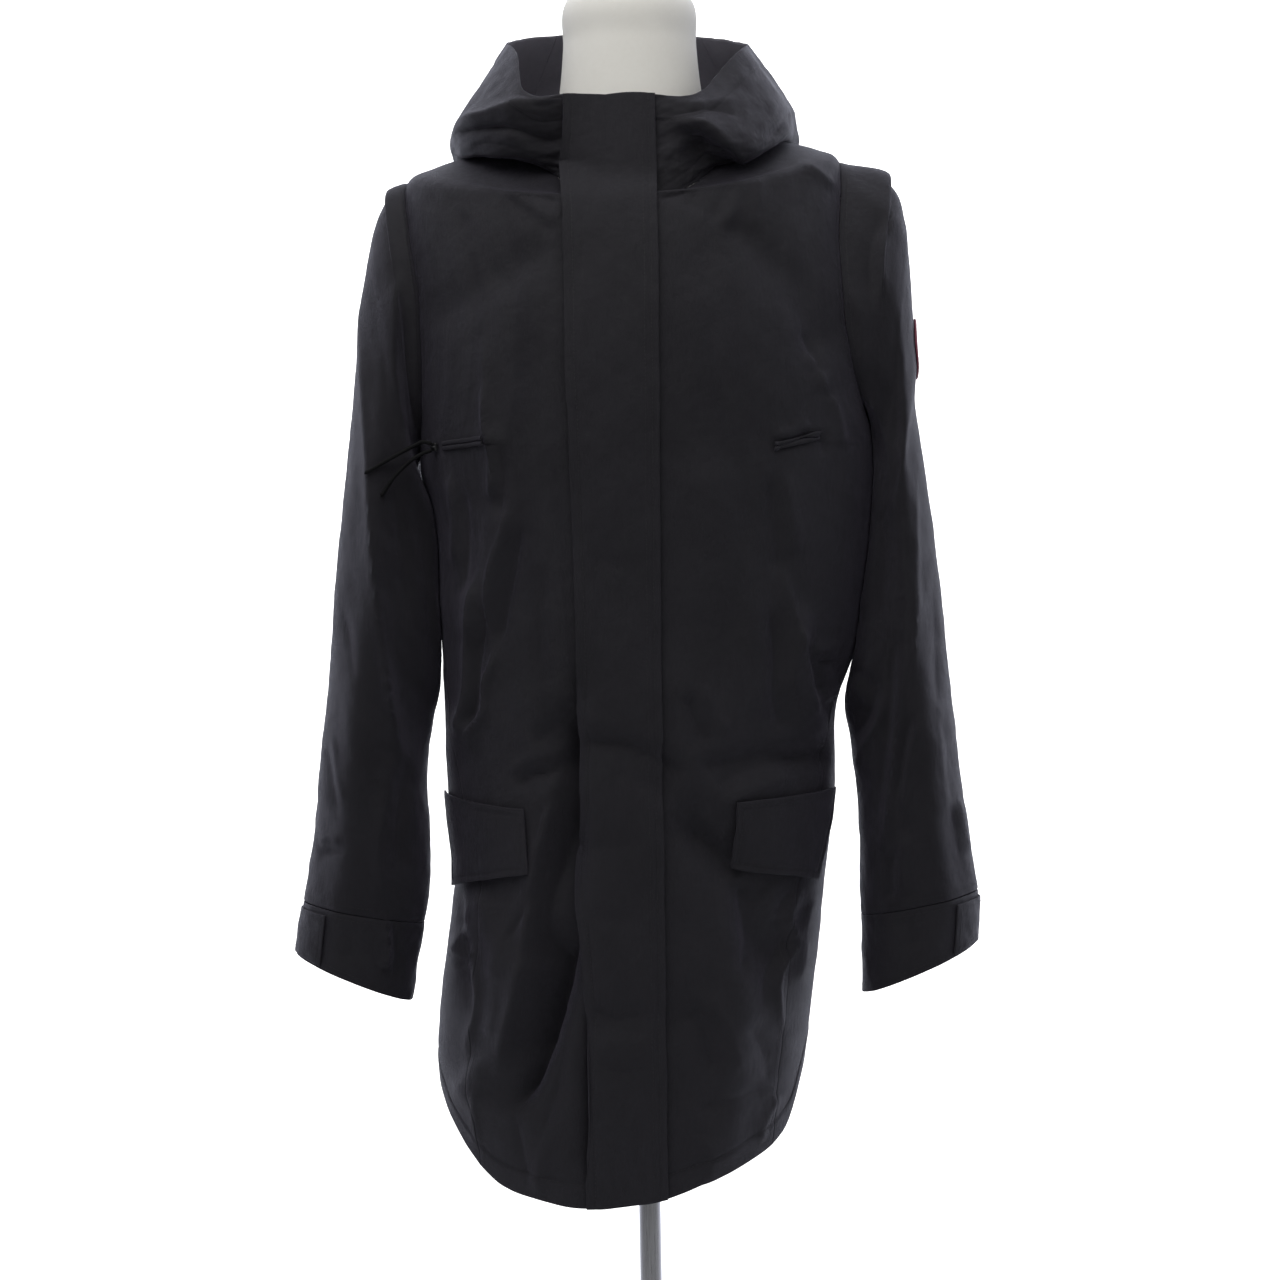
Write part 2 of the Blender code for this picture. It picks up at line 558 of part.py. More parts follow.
def smooth_through(values, place):
    """A smooth curve through values 0, 1, 2 and so on, read at any place between them.

    Each value has a weight by the steps to it, and one more value is added past each end, in line with it.
    """
    before, after = 2 * values[0] - values[1], 2 * values[-1] - values[-2]
    total = np.zeros(place.shape)
    for i, value in enumerate([before, *values, after]):
        d = np.abs(place - (i - 1))
        near = 1.5 * d**3 - 2.5 * d**2 + 1
        far = -0.5 * d**3 + 2.5 * d**2 - 4 * d + 2
        total += value * np.where(d < 1, near, np.where(d < 2, far, 0))
    return total


def armhole(angle, side):
    """A point of the armhole: 0 is the shoulder, 90 the front, 180 the armpit, 270 the back."""
    along = ARMHOLE_ALONG + ARMHOLE_HALF * np.cos(np.radians(angle))
    turn = np.sin(np.radians(angle))
    reach = np.where(turn > 0, -ARMHOLE_FRONT[side], ARMHOLE_BACK[side]) * np.abs(turn)
    return body(side * (90 + reach), along)


def sleeve_oval(angle, ring, side):
    """A point of a sleeve's plain oval ring, between its outer and its inner edge."""
    outer_z, inner_z, front, back, _ = read_table(SLEEVE, ring)
    outer = side * read_table(OUTER_EDGE[side], outer_z)[0]
    inner = side * read_table(INNER_EDGE[side], inner_z)[0]
    turn, ahead = np.cos(np.radians(angle)), np.sin(np.radians(angle))
    x = (outer + inner) / 2 + (outer - inner) / 2 * turn
    z = (outer_z + inner_z) / 2 + (outer_z - inner_z) / 2 * turn
    y = (front + back) / 2 - (back - front) / 2 * ahead
    return np.stack(np.broadcast_arrays(x, y, z), axis=-1)


def sleeve(angle, ring, side):
    """A point of a sleeve: its oval ring, drawn towards the armhole near the shoulder, and its folds."""
    angle, ring = np.broadcast_arrays(np.asarray(angle, float), np.asarray(ring, float))
    share = np.clip(read_table(SLEEVE, ring)[4], 0, 1)[..., None]
    first = sleeve_oval(angle, np.zeros(ring.shape), side)
    oval = sleeve_oval(angle, ring, side) + share * (armhole(angle, side) - first)
    middle = sleeve_oval(0, ring, side) / 2 + sleeve_oval(180, ring, side) / 2
    away = oval - middle
    away /= np.linalg.norm(away, axis=-1, keepdims=True)
    height = np.zeros(ring.shape)
    for at, turn, rings, degrees, rise in SLEEVE_FOLDS:
        off = (angle - turn + 180) % 360 - 180
        height += rise * np.exp(-(((ring - at) / rings) ** 2) - (off / degrees) ** 2)
    start = np.array([side * SLEEVE_START, 0, 0])
    return oval + away * height[..., None] + start * (1 - np.clip(ring, 0, 1))[..., None]


def sleeve_of(side):
    """The sleeve's surface with its angle running so that its normal points out of the sleeve."""
    return lambda angle, ring: sleeve(angle * side, ring, side)


# ---- making solids -----------------------------------------------------------------------------


def material(name, colour, roughness, metallic=0.0):
    made = bpy.data.materials.new(name)
    made.use_nodes = True
    shader = made.node_tree.nodes["Principled BSDF"]
    shader.inputs["Base Color"].default_value = (*colour, 1)
    shader.inputs["Roughness"].default_value = roughness
    shader.inputs["Metallic"].default_value = metallic
    made.diffuse_color = (*colour, 1)
    return made


def add_object(name, vertices, faces, colour):
    mesh = bpy.data.meshes.new(name)
    mesh.from_pydata([tuple(v) for v in vertices], [], faces)
    mesh.shade_smooth()
    mesh.set_sharp_from_angle(angle=np.radians(40))
    mesh.materials.append(colour)
    made = bpy.data.objects.new(name, mesh)
    bpy.context.collection.objects.link(made)
    return made


def wall(name, inner, outer, colour, closed=False):
    """A solid between two grids of points, rows by columns. A closed one goes round like a tube."""
    rows, columns = inner.shape[:2]
    count = rows * columns
    number = np.arange(count).reshape(rows, columns)
    if closed:
        number = np.hstack([number, number[:, :1]])
    low_left, low_right = number[:-1, :-1].ravel(), number[:-1, 1:].ravel()
    high_left, high_right = number[1:, :-1].ravel(), number[1:, 1:].ravel()
    faces = []
    for a, b, c, d in zip(low_left, low_right, high_right, high_left):
        faces += [(a + count, b + count, c + count), (a + count, c + count, d + count)]
        faces += [(c, b, a), (d, c, a)]
    edges = [number[0], number[-1, ::-1]]
    if not closed:
        edges += [number[:, -1], number[::-1, 0]]
    for edge in edges:
        faces += [(a, b, b + count, a + count) for a, b in zip(edge[:-1], edge[1:])]
    faces = [tuple(int(i) for i in face) for face in faces]
    points = np.vstack([inner.reshape(-1, 3), outer.reshape(-1, 3)])
    return add_object(name, points, faces, colour)


def cloth(name, surface, u, v, colour, out=0.0, thick=CLOTH, closed=False):
    """A cloth piece: the wall between a surface's points moved in and out by half of its thickness."""
    inner = moved_out(surface, u, v, np.zeros(u.shape) + out - thick / 2)
    outer = moved_out(surface, u, v, np.zeros(u.shape) + out + thick / 2)
    return wall(name, inner, outer, colour, closed)


def body_rows():
    """The values of along for the body's rows: even up to the armpit, then close at the armhole's ends."""
    half = ARMHOLE_HALF + ARMHOLE_CLEAR
    armpit, tip = ARMHOLE_ALONG - half, ARMHOLE_ALONG + half
    skirt = np.linspace(HEM_ALONG, HIP_ALONG, 8)[:-1]
    waist = np.linspace(HIP_ALONG, armpit, 11)[:-1]
    arm = ARMHOLE_ALONG - half * np.cos(np.linspace(0, np.pi, 10))
    shoulder = np.linspace(tip, NECK_ALONG, 7)[1:]
    return np.concatenate([skirt, waist, arm, shoulder])


def strip_lines(rows):
    """The x of the lines that the fronts, zip and flap share, from the free edge to the sewn one."""
    free, sewn = read_table(FLAP_EDGES, level_at(rows, 0))
    meet = FRONTS_MEET + 0 * free
    low, high = meet - ZIP_HALF, meet + ZIP_HALF
    return np.stack([free, (free + low) / 2, low, meet, high, (high + sewn) / 2, sewn], axis=-1)


def strip_angles(rows):
    """The angles of those lines on the body's rows."""
    return angle_at(strip_lines(rows), widths_at(level_at(rows, 0))[..., None])


def make_fronts(colour):
    rows = body_rows()
    lines = strip_angles(rows)
    widths = widths_at(level_at(rows, 0))
    for side, name in ((-1, "front_right"), (1, "front_left")):
        meet = angle_at(FRONTS_MEET + side * SEAM, widths)[:, None]
        near = lines[:, 2::-1] if side < 0 else lines[:, 4:]
        edge = side * front_edge(rows, side)[:, None]
        share = np.linspace(0, 1, 10)[None, 1:]
        rest = near[:, -1:] + (edge - near[:, -1:]) * share
        angle = np.hstack([meet, near, rest])
        if side < 0:
            angle = angle[:, ::-1]
        cloth(name, body, angle, rows[:, None] + 0 * angle, colour)


def make_back(colour):
    rows = body_rows()[:, None]
    start, end = back_edge(rows, 1), 360 - back_edge(rows, -1)
    angle = start + (end - start) * np.linspace(0, 1, 25)[None, :]
    cloth("back", body, angle, rows + 0 * angle, colour)


def hood_strip():
    """The hood's rows, and on each of them the angles of the shared lines."""
    share = np.array(HOOD_ROWS)[:, None]
    lines = strip_lines(neck_ring(0)[2] + 0 * share[:, 0])
    return share, hood_angle_at(lines, share + 0 * lines)


def front_strip(name, first, last, out, thick, surface, colour):
    """A strip up the front between two of the shared lines, on the body and then on the hood."""
    rows = body_rows()
    rows = rows[rows < STRIP_ROWS_TOP]
    low = strip_angles(rows)[:, first : last + 1]
    share, high = hood_strip()
    share, high = share[2:], high[2:, first : last + 1]
    grids = []
    for away in (out - thick / 2, out + thick / 2):
        on_body = moved_out(surface, low, rows[:, None] + 0 * low, np.zeros(low.shape) + away)
        on_hood = moved_out(hood, high, share + 0 * high, np.zeros(high.shape) + away)
        grids.append(np.vstack([on_body, on_hood]))
    wall(name, *grids, colour)


def make_storm_flap(colour, zip_colour):
    zip_out = CLOTH / 2 + SEAM + ZIP_THICK / 2
    front_strip("front_zip", 2, 4, zip_out, ZIP_THICK, body, zip_colour)
    out = zip_out + ZIP_THICK / 2 + FLAP_CLEAR + CLOTH / 2
    front_strip("storm_flap", 0, 6, out, CLOTH, flap_body, colour)


def make_hood(colour):
    share, lines = hood_strip()
    meet = {side: hood_angle_at(FRONTS_MEET + side * SEAM + 0 * share, share) for side in (-1, 1)}
    first, last = HOOD_SEAMS[0] - HOOD_SEAM_ANGLE, HOOD_SEAMS[1] + HOOD_SEAM_ANGLE
    steps = np.linspace(0, 1, 11)[None, 1:]
    left = lines[:, -1:] + (first - lines[:, -1:]) * steps
    right = 360 + lines[:, :1] + (last - 360 - lines[:, :1]) * steps[:, ::-1]
    middle = HOOD_SEAMS[0] + HOOD_SEAM_ANGLE, HOOD_SEAMS[1] - HOOD_SEAM_ANGLE
    parts = {
        "hood_side_left": np.hstack([meet[1], lines[:, 4:], left]),
        "hood_centre": np.linspace(*middle, 7)[None, :] + 0 * share,
        "hood_side_right": np.hstack([right, 360 + lines[:, :3], 360 + meet[-1]]),
    }
    for name, angle in parts.items():
        cloth(name, hood, angle, share + 0 * angle, colour)


def make_sleeves(colour):
    turn = np.arange(0, 360, SLEEVE_STEP)[None, :]
    for side, name in ((-1, "right"), (1, "left")):
        surface = sleeve_of(side)
        rings = np.concatenate([[0, 0.5], np.arange(1, CUFF_RING)])[:, None]
        rings = np.vstack([rings, [[CUFF_RING - CUFF_SEAM]]])
        cloth("sleeve_" + name, surface, turn + 0 * rings, rings + 0 * turn, colour, closed=True)
        rings = np.array([CUFF_RING, *TAB_RINGS, LAST_RING])[:, None]
        cloth("cuff_" + name, surface, turn + 0 * rings, rings + 0 * turn, colour, closed=True)
        angle = np.arange(TAB_ANGLES[0], TAB_ANGLES[1] + 1, SLEEVE_STEP)[None, :] * side
        if side < 0:
            angle = angle[:, ::-1]
        rings = np.array(TAB_RINGS)[:, None]
        cloth("cuff_tab_" + name, surface, angle + 0 * rings, rings + 0 * angle, colour, out=TAB_OUT)


def make_on_body(name, corners, columns, rows, out, lift, thick, colour):
    """A flat piece on a front, between four corners seen from the front: sewn edge, then free edge."""
    x, z = np.array(corners).T
    turn = angle_at(x, widths_at(z))
    u, v = np.linspace(0, 1, columns)[None, :], np.linspace(0, 1, rows)[::-1, None]
    if x[0] > x[1]:
        u = u[:, ::-1]
    angle = (turn[0] + (turn[1] - turn[0]) * u) * (1 - v) + (turn[3] + (turn[2] - turn[3]) * u) * v
    z = (z[0] + (z[1] - z[0]) * u) * (1 - v) + (z[3] + (z[2] - z[3]) * u) * v
    away = np.zeros(angle.shape) + out + lift * v
    inner = moved_out(body, angle, z, away - thick / 2)
    outer = moved_out(body, angle, z, away + thick / 2)
    wall(name, inner, outer, colour)


def make_patch(colour):
    """A round piece on the sleeve: each point's angle and ring are stepped until it is on a disc."""
    surface = sleeve_of(1)
    middle = surface(np.array(PATCH_ANGLE), np.array(PATCH_RING))
    per_degree = surface(np.array(PATCH_ANGLE + 1.0), np.array(PATCH_RING))[1] - middle[1]
    per_ring = surface(np.array(PATCH_ANGLE), np.array(PATCH_RING + 1.0))[2] - middle[2]
    around = np.radians(np.arange(0, 360, 22.5))[None, :]
    reach = np.array([0.02, 0.35, 0.7, 1.0])[:, None] * PATCH_RADIUS
    want_y, want_z = middle[1] - reach * np.cos(around), middle[2] + reach * np.sin(around)
    angle, ring = np.full(want_y.shape, PATCH_ANGLE), np.full(want_y.shape, PATCH_RING)
    for _ in range(PATCH_STEPS):
        now = surface(angle, ring)
        angle = angle + (want_y - now[..., 1]) / per_degree / 2
        ring = ring + (want_z - now[..., 2]) / per_ring / 2
    inner = moved_out(surface, angle, ring, np.zeros(angle.shape) + PATCH_OUT - CLOTH / 2)
    outer = moved_out(surface, angle, ring, np.zeros(angle.shape) + PATCH_OUT + CLOTH / 2)
    wall("sleeve_patch", inner, outer, colour, closed=True)


def make_cord(name, route, colour):
    """A round cord along a smooth curve through its route."""
    route = np.array(route)
    at = np.linspace(0, 1, CORD_POINTS) * (len(route) - 1)
    rows = np.column_stack([np.arange(len(route)), route])
    points = read_table(rows, at).T
    curve = bpy.data.curves.new(name, "CURVE")
    curve.dimensions = "3D"
    curve.bevel_depth = CORD_RADIUS
    curve.bevel_resolution = 2
    curve.use_fill_caps = True
    spline = curve.splines.new("POLY")
    spline.points.add(CORD_POINTS - 1)
    for place, point in zip(spline.points, points):
        place.co = (*point, 1)
    made = bpy.data.objects.new(name, curve)
    made.data.materials.append(colour)
    bpy.context.collection.objects.link(made)


def stacked(name, rings, colour):
    """A solid through rings of points, bottom first, closed by a flat face at both ends."""
    count, steps = rings.shape[:2]
    faces = [tuple(range(steps))[::-1]]
    for k in range(count - 1):
        for i in range(steps):
            j = (i + 1) % steps
            faces.append((k * steps + i, k * steps + j, (k + 1) * steps + j, (k + 1) * steps + i))
    faces.append(tuple(range((count - 1) * steps, count * steps)))
    add_object(name, rings.reshape(-1, 3), faces, colour)


def turned(name, profile, colour, steps):
    """A solid turned round Z from a profile of (radius, height), bottom first."""
    around = np.linspace(0, 2 * np.pi, steps, endpoint=False)
    radius, height = np.array(profile).T[..., None]
    rings = np.stack([radius * np.cos(around), radius * np.sin(around), height + 0 * around], axis=-1)
    stacked(name, rings, colour)


def make_form(cloth_colour, metal, base_colour):
    torso = np.linspace(*FORM_TORSO, 13)
    neck = np.linspace(*FORM_NECK, 18)
    along = np.concatenate([[FORM[0][0], FORM[1][0]], torso, neck])[:, None]
    angle = np.arange(0, 360, 12.0)[None, :]
    stacked("form", np.stack(ring_point(FORM, angle, along), axis=-1), cloth_colour)
    turned("pole", ((POLE_RADIUS, POLE_FOOT), (POLE_RADIUS, POLE_HEAD)), metal, steps=20)
    turned("base", BASE, base_colour, steps=40)


BODY_SAMPLES = body_samples()


def main():
    for old in list(bpy.data.objects):
        bpy.data.objects.remove(old)
    jacket = material("black_cloth", JACKET_COLOUR, 0.75)
    dark = material("zip_tape", ZIP_COLOUR, 0.5)
    make_fronts(jacket)
    make_back(jacket)
    make_hood(jacket)
    make_sleeves(jacket)
    make_storm_flap(jacket, dark)
    for name, corners in POCKET_FLAPS.items():
        make_on_body(name, corners, 8, 5, POCKET_FLAP_OUT, POCKET_FLAP_LIFT, CLOTH, jacket)
    for name, corners in CHEST_ZIPS.items():
        make_on_body(name, corners, 6, 2, CHEST_ZIP_OUT, 0, CLOTH, dark)
    make_patch(material("patch_cloth", PATCH_COLOUR, 0.8))
    make_on_body("chest_slider_right", SLIDER, 2, 2, SLIDER_OUT, 0, SLIDER_THICK, dark)
    for name, route in CORD_ROUTES.items():
        make_cord(name, route, dark)
    metal = material("pole_metal", METAL_COLOUR, 0.35, 1.0)
    make_form(material("form_cloth", FORM_COLOUR, 0.85), metal, material("base_paint", BASE_COLOUR, 0.5))


main()
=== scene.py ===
# %% [markdown]
# # A hooded rain jacket on a dress form
#
# A rain jacket is sewn from thin, dense cloth. Worn on a form it keeps the wearer's shape at the
# shoulders and falls free below the chest. Each cloth piece here is a thin shell worked out from one of
# three surfaces (the body, the sleeve and the hood), which are the same ones that the rigid model uses.
# The shells only add what is too fine for it: creases, rolled edges, seams and stitches.

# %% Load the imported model
import json

import bpy
import numpy as np
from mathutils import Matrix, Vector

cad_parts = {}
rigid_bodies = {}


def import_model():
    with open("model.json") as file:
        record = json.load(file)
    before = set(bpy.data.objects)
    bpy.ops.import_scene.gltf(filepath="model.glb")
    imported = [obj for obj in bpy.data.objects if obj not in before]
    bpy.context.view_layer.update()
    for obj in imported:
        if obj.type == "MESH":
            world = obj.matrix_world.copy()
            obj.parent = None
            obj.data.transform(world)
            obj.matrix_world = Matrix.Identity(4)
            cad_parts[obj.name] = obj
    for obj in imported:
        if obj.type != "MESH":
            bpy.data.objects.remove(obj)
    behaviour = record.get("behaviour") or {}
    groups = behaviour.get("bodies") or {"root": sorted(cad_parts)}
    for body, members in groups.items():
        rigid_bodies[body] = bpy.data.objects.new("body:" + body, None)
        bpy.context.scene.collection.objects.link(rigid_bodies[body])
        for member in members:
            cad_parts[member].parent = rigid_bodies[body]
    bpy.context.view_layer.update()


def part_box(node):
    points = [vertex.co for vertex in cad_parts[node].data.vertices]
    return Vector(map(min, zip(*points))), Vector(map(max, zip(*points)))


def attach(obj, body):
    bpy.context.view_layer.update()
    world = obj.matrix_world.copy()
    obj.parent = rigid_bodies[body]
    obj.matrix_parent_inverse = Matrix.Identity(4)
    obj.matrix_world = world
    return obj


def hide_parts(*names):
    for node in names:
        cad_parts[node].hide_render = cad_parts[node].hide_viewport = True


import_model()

# %% [markdown]
# ## Camera
#
# The photograph was taken level with the chest from a few steps away, and its camera leaned by one
# degree. A long lens keeps the jacket's proportions. The focal length follows from how wide the frame is
# at the form's middle.

# %% Camera
CAMERA_AWAY = 2.6  # metres from the form's middle
EYE_HEIGHT = 1.024
FRAME_WIDTH = 1.126  # what the frame holds at the form's middle
CAMERA_LEAN = 1.0  # degrees
SENSOR = 36.0  # millimetres
camera_data = bpy.data.cameras.new("camera")
camera_data.sensor_width = SENSOR
camera_data.lens = SENSOR * CAMERA_AWAY / FRAME_WIDTH
camera = bpy.data.objects.new("camera", camera_data)
camera.location = (0, -CAMERA_AWAY, EYE_HEIGHT)
camera.rotation_euler = (np.radians(90), np.radians(CAMERA_LEAN), 0)
bpy.context.collection.objects.link(camera)
bpy.context.scene.camera = camera
print("lens", round(camera_data.lens, 1), "mm")

# %% [markdown]
# ## Reading tables
#
# The jacket's forms are kept as short tables of measured rows. A smooth curve through the rows gives
# every value between them, so that a coarse table makes a fine surface.


# %% Curves through tables


def read_table(rows, at):
    """The other columns of a table at any value of its first, through a smooth curve."""
    rows = np.array(rows, float)
    if rows[0, 0] > rows[-1, 0]:
        rows = rows[::-1]
    x, y = rows[:, 0], rows[:, 1:]
    step = np.diff(x)[:, None]
    slope = np.diff(y, axis=0) / step
    inner = (slope[1:] * step[:-1] + slope[:-1] * step[1:]) / (step[1:] + step[:-1])
    tangent = np.vstack([slope[:1], inner, slope[-1:]])
    at = np.clip(np.asarray(at, float), x[0], x[-1])
    i = np.clip(np.searchsorted(x, at, side="right") - 1, 0, len(x) - 2)
    h = (x[i + 1] - x[i])[..., None]
    t = (at - x[i])[..., None] / h
    start = (2 * t**3 - 3 * t**2 + 1) * y[i] + (t**3 - 2 * t**2 + t) * h * tangent[i]
    end = (3 * t**2 - 2 * t**3) * y[i + 1] + (t**3 - t**2) * h * tangent[i + 1]
    return np.moveaxis(start + end, -1, 0)


def line_table(rows, at):
    """The second column of a table at any value of its first, along straight lines."""
    rows = np.array(rows, float)
    return np.interp(at, rows[:, 0], rows[:, 1])


def smooth_through(values, place):
    """A smooth curve through values 0, 1, 2 and so on, read at any place between them.

    Each value has a weight by the steps to it, and one more value is added past each end, in line with it.
    """
    before, after = 2 * values[0] - values[1], 2 * values[-1] - values[-2]
    total = np.zeros(place.shape)
    for i, value in enumerate([before, *values, after]):
        d = np.abs(place - (i - 1))
        near = 1.5 * d**3 - 2.5 * d**2 + 1
        far = -0.5 * d**3 + 2.5 * d**2 - 4 * d + 2
        total += value * np.where(d < 1, near, np.where(d < 2, far, 0))
    return total


def signed_power(value, power):
    return np.sign(value) * np.abs(value) ** power


def bell(value, middle, half):
    """A bump that is 1 in its middle and dies away over a half width on both sides."""
    return np.exp(-(((value - middle) / half) ** 2))


# %% [markdown]
# ## Creases
#
# A crease in stiff cloth is a line where the cloth bends sharply, with a slope that dies away on both
# sides. A soft fold is the same with a wider, rounder top. So one formula serves for both, and each
# crease is placed from what the photograph shows: a line of points seen from the front, the
# height of its ridge (a trough is negative), how wide it is, and how round.


# %% Height of creases
CREASE_STEPS = 13
CREASE_FADE = 0.22  # share of a crease's length in which each end fades out


def in_metres(creases):
    """Creases whose numbers are in millimetres, in metres."""
    return [(*(np.array(row) / 1000), np.array(points) / 1000) for *row, points in creases]


def crease_line(points):
    """Points along a smooth curve through a crease's own points."""
    x, z = np.array(points, float).reshape(-1, 2).T
    place = np.linspace(0, len(x) - 1, CREASE_STEPS)
    return smooth_through(x, place), smooth_through(z, place)


def crease_height(creases, x, z):
    """The sum of the creases at points seen from the front.

    With d the distance to the crease's line, r its roundness and w its width, a crease's height is
    height * exp(-(sqrt(d*d + r*r) - r) / w), times a share that fades to 0 at both of its ends.
    """
    total = np.zeros(np.shape(x))
    for height, width, roundness, points in creases:
        line_x, line_z = crease_line(points)
        reach = 5 * width + 2 * roundness
        near = (x > line_x.min() - reach) & (x < line_x.max() + reach)
        near &= (z > line_z.min() - reach) & (z < line_z.max() + reach)
        if not near.any():
            continue
        px, pz = x[near], z[near]
        nearest = np.full(px.shape, np.inf)
        along = np.zeros(px.shape)
        for i in range(CREASE_STEPS - 1):
            ax, az = line_x[i], line_z[i]
            bx, bz = line_x[i + 1] - ax, line_z[i + 1] - az
            t = np.clip(((px - ax) * bx + (pz - az) * bz) / (bx * bx + bz * bz), 0, 1)
            away = (px - ax - t * bx) ** 2 + (pz - az - t * bz) ** 2
            closer = away < nearest
            nearest = np.where(closer, away, nearest)
            along = np.where(closer, (i + t) / (CREASE_STEPS - 1), along)
        end = np.clip(np.minimum(along, 1 - along) / CREASE_FADE, 0, 1)
        end = end * end * (3 - 2 * end)
        slope = np.exp(-(np.sqrt(nearest + roundness**2) - roundness) / width)
        total[near] += height * slope * end
    return total


# %% [markdown]
# ## The body of the jacket
#
# The body is a stack of closed rings from the hem to the neck. Each ring has its own reach to the right,
# left, front and back, and is a little squarer than an ellipse, as a coat on a form is. Rings below the
# hip sink to the hem's curve, and rings at the neck dip at the front.

# %% Measured rings of the body
CLOTH = 0.0015  # thickness of every cloth wall
SEAM = 0.0003  # air left between two pieces
LAYER = CLOTH + SEAM  # how far a piece lies out from the one under it
SEAM_ANGLE = 0.02  # half of the air at a seam that runs up the body, as an angle round it
ROUNDNESS = 0.87  # power of the body's rings: 1 is an ellipse, less is squarer
HEM_ALONG, HIP_ALONG, SHOULDER_ALONG, NECK_ALONG = 0.50, 0.80, 1.43, 1.545
BODY = (
    # along, height, wearer's right, left, front, back, dip, tilt
    (0.54, 0.54, 0.172, 0.122, 0.13, 0.126, 0, 0),
    (0.6, 0.6, 0.1765, 0.128, 0.132, 0.128, 0, 0),
    (0.65, 0.65, 0.181, 0.136, 0.133, 0.13, 0, 0),
    (0.7, 0.7, 0.1805, 0.1435, 0.134, 0.13, 0, 0),
    (0.76, 0.76, 0.173, 0.1515, 0.134, 0.129, 0, 0),
    (0.83, 0.83, 0.1648, 0.1595, 0.134, 0.128, 0, 0),
    (0.9, 0.9, 0.17, 0.1685, 0.134, 0.126, 0, 0),
    (0.965, 0.965, 0.172, 0.1705, 0.134, 0.124, 0, 0),
    (1.01, 1.01, 0.1725, 0.187, 0.133, 0.124, 0, 0),
    (1.06, 1.06, 0.1755, 0.197, 0.133, 0.125, 0, 0),
    (1.13, 1.13, 0.1785, 0.207, 0.134, 0.127, 0, 0),
    (1.165, 1.165, 0.1865, 0.2085, 0.135, 0.129, 0, 0),
    (1.23, 1.23, 0.191, 0.206, 0.135, 0.13, 0, 0),
    (1.3, 1.3, 0.1965, 0.202, 0.13, 0.127, 0, 0),
    (1.35, 1.35, 0.1995, 0.197, 0.121, 0.12, 0.004, 0),
    (1.385, 1.385, 0.201, 0.191, 0.115, 0.111, 0.012, 0.003),
    (1.41, 1.412, 0.2, 0.187, 0.11, 0.104, 0.022, 0.005),
    (1.43, 1.434, 0.196, 0.181, 0.107, 0.099, 0.034, 0.006),
    (1.46, 1.446, 0.172, 0.162, 0.1045, 0.092, 0.046, 0.005),
    (1.49, 1.454, 0.143, 0.137, 0.102, 0.086, 0.056, 0.004),
    (1.52, 1.46, 0.114, 0.11, 0.1, 0.081, 0.064, 0.002),
    (1.545, 1.465, 0.09, 0.09, 0.0985, 0.078, 0.07, 0),
)
BACK_NECK_RISE = 0.010  # how much higher the neck seam is at the back than at the side
HEM = (
    # angle from the front, height
    (-180, 0.635), (-120, 0.655), (-90, 0.652), (-74, 0.625), (-60, 0.596), (-45, 0.5675), (-30, 0.5555),
    (-15, 0.549), (0, 0.5535), (21, 0.57), (38, 0.583), (55, 0.596), (65, 0.61), (73, 0.638), (82, 0.658),
    (120, 0.662), (180, 0.635),
)
SIDE_SEAM = (
    # along, how far the side seam is in front of the side, as an angle
    (0.5, 38), (0.8, 38), (0.9, 26), (1, 14), (1.12, 4), (1.19, 0), (1.545, 0),
)

# %% Measured rings of the form inside
FORM = (
    # along, height, wearer's right, left, front, back, dip, tilt
    (0.755, 0.755, 0.135, 0.128, 0.102, 0.1, 0, 0),
    (0.765, 0.765, 0.143, 0.135, 0.11, 0.106, 0, 0),
    (0.86, 0.86, 0.145, 0.142, 0.11, 0.106, 0, 0),
    (0.95, 0.95, 0.142, 0.142, 0.102, 0.098, 0, 0),
    (1.02, 1.02, 0.146, 0.148, 0.104, 0.098, 0, 0),
    (1.1, 1.1, 0.158, 0.16, 0.11, 0.102, 0, 0),
    (1.19, 1.19, 0.17, 0.173, 0.116, 0.108, 0, 0),
    (1.26, 1.26, 0.179, 0.183, 0.117, 0.112, 0, 0),
    (1.33, 1.33, 0.19, 0.188, 0.112, 0.11, 0.001, 0),
    (1.385, 1.3815, 0.1965, 0.1865, 0.107, 0.1055, 0.012, 0.003),
    (1.41, 1.4085, 0.195, 0.182, 0.1035, 0.099, 0.022, 0.005),
    (1.43, 1.43, 0.19, 0.175, 0.094, 0.0945, 0.035, 0.006),
    (1.46, 1.442, 0.168, 0.158, 0.0895, 0.088, 0.042, 0.005),
    (1.49, 1.4498, 0.139, 0.133, 0.0845, 0.0825, 0.046, 0.004),
    (1.52, 1.456, 0.107, 0.103, 0.078, 0.076, 0.044, 0.002),
    (1.545, 1.464, 0.079, 0.079, 0.0705, 0.069, 0.034, 0),
    (1.565, 1.479, 0.067, 0.067, 0.0645, 0.064, 0.02, 0),
    (1.6, 1.508, 0.062, 0.062, 0.061, 0.061, 0.006, 0),
    (1.64, 1.545, 0.0585, 0.0585, 0.0585, 0.0585, 0, 0),
    (1.678, 1.581, 0.057, 0.057, 0.057, 0.057, 0, 0),
    (1.684, 1.586, 0.0545, 0.0545, 0.0545, 0.0545, 0, 0),
)

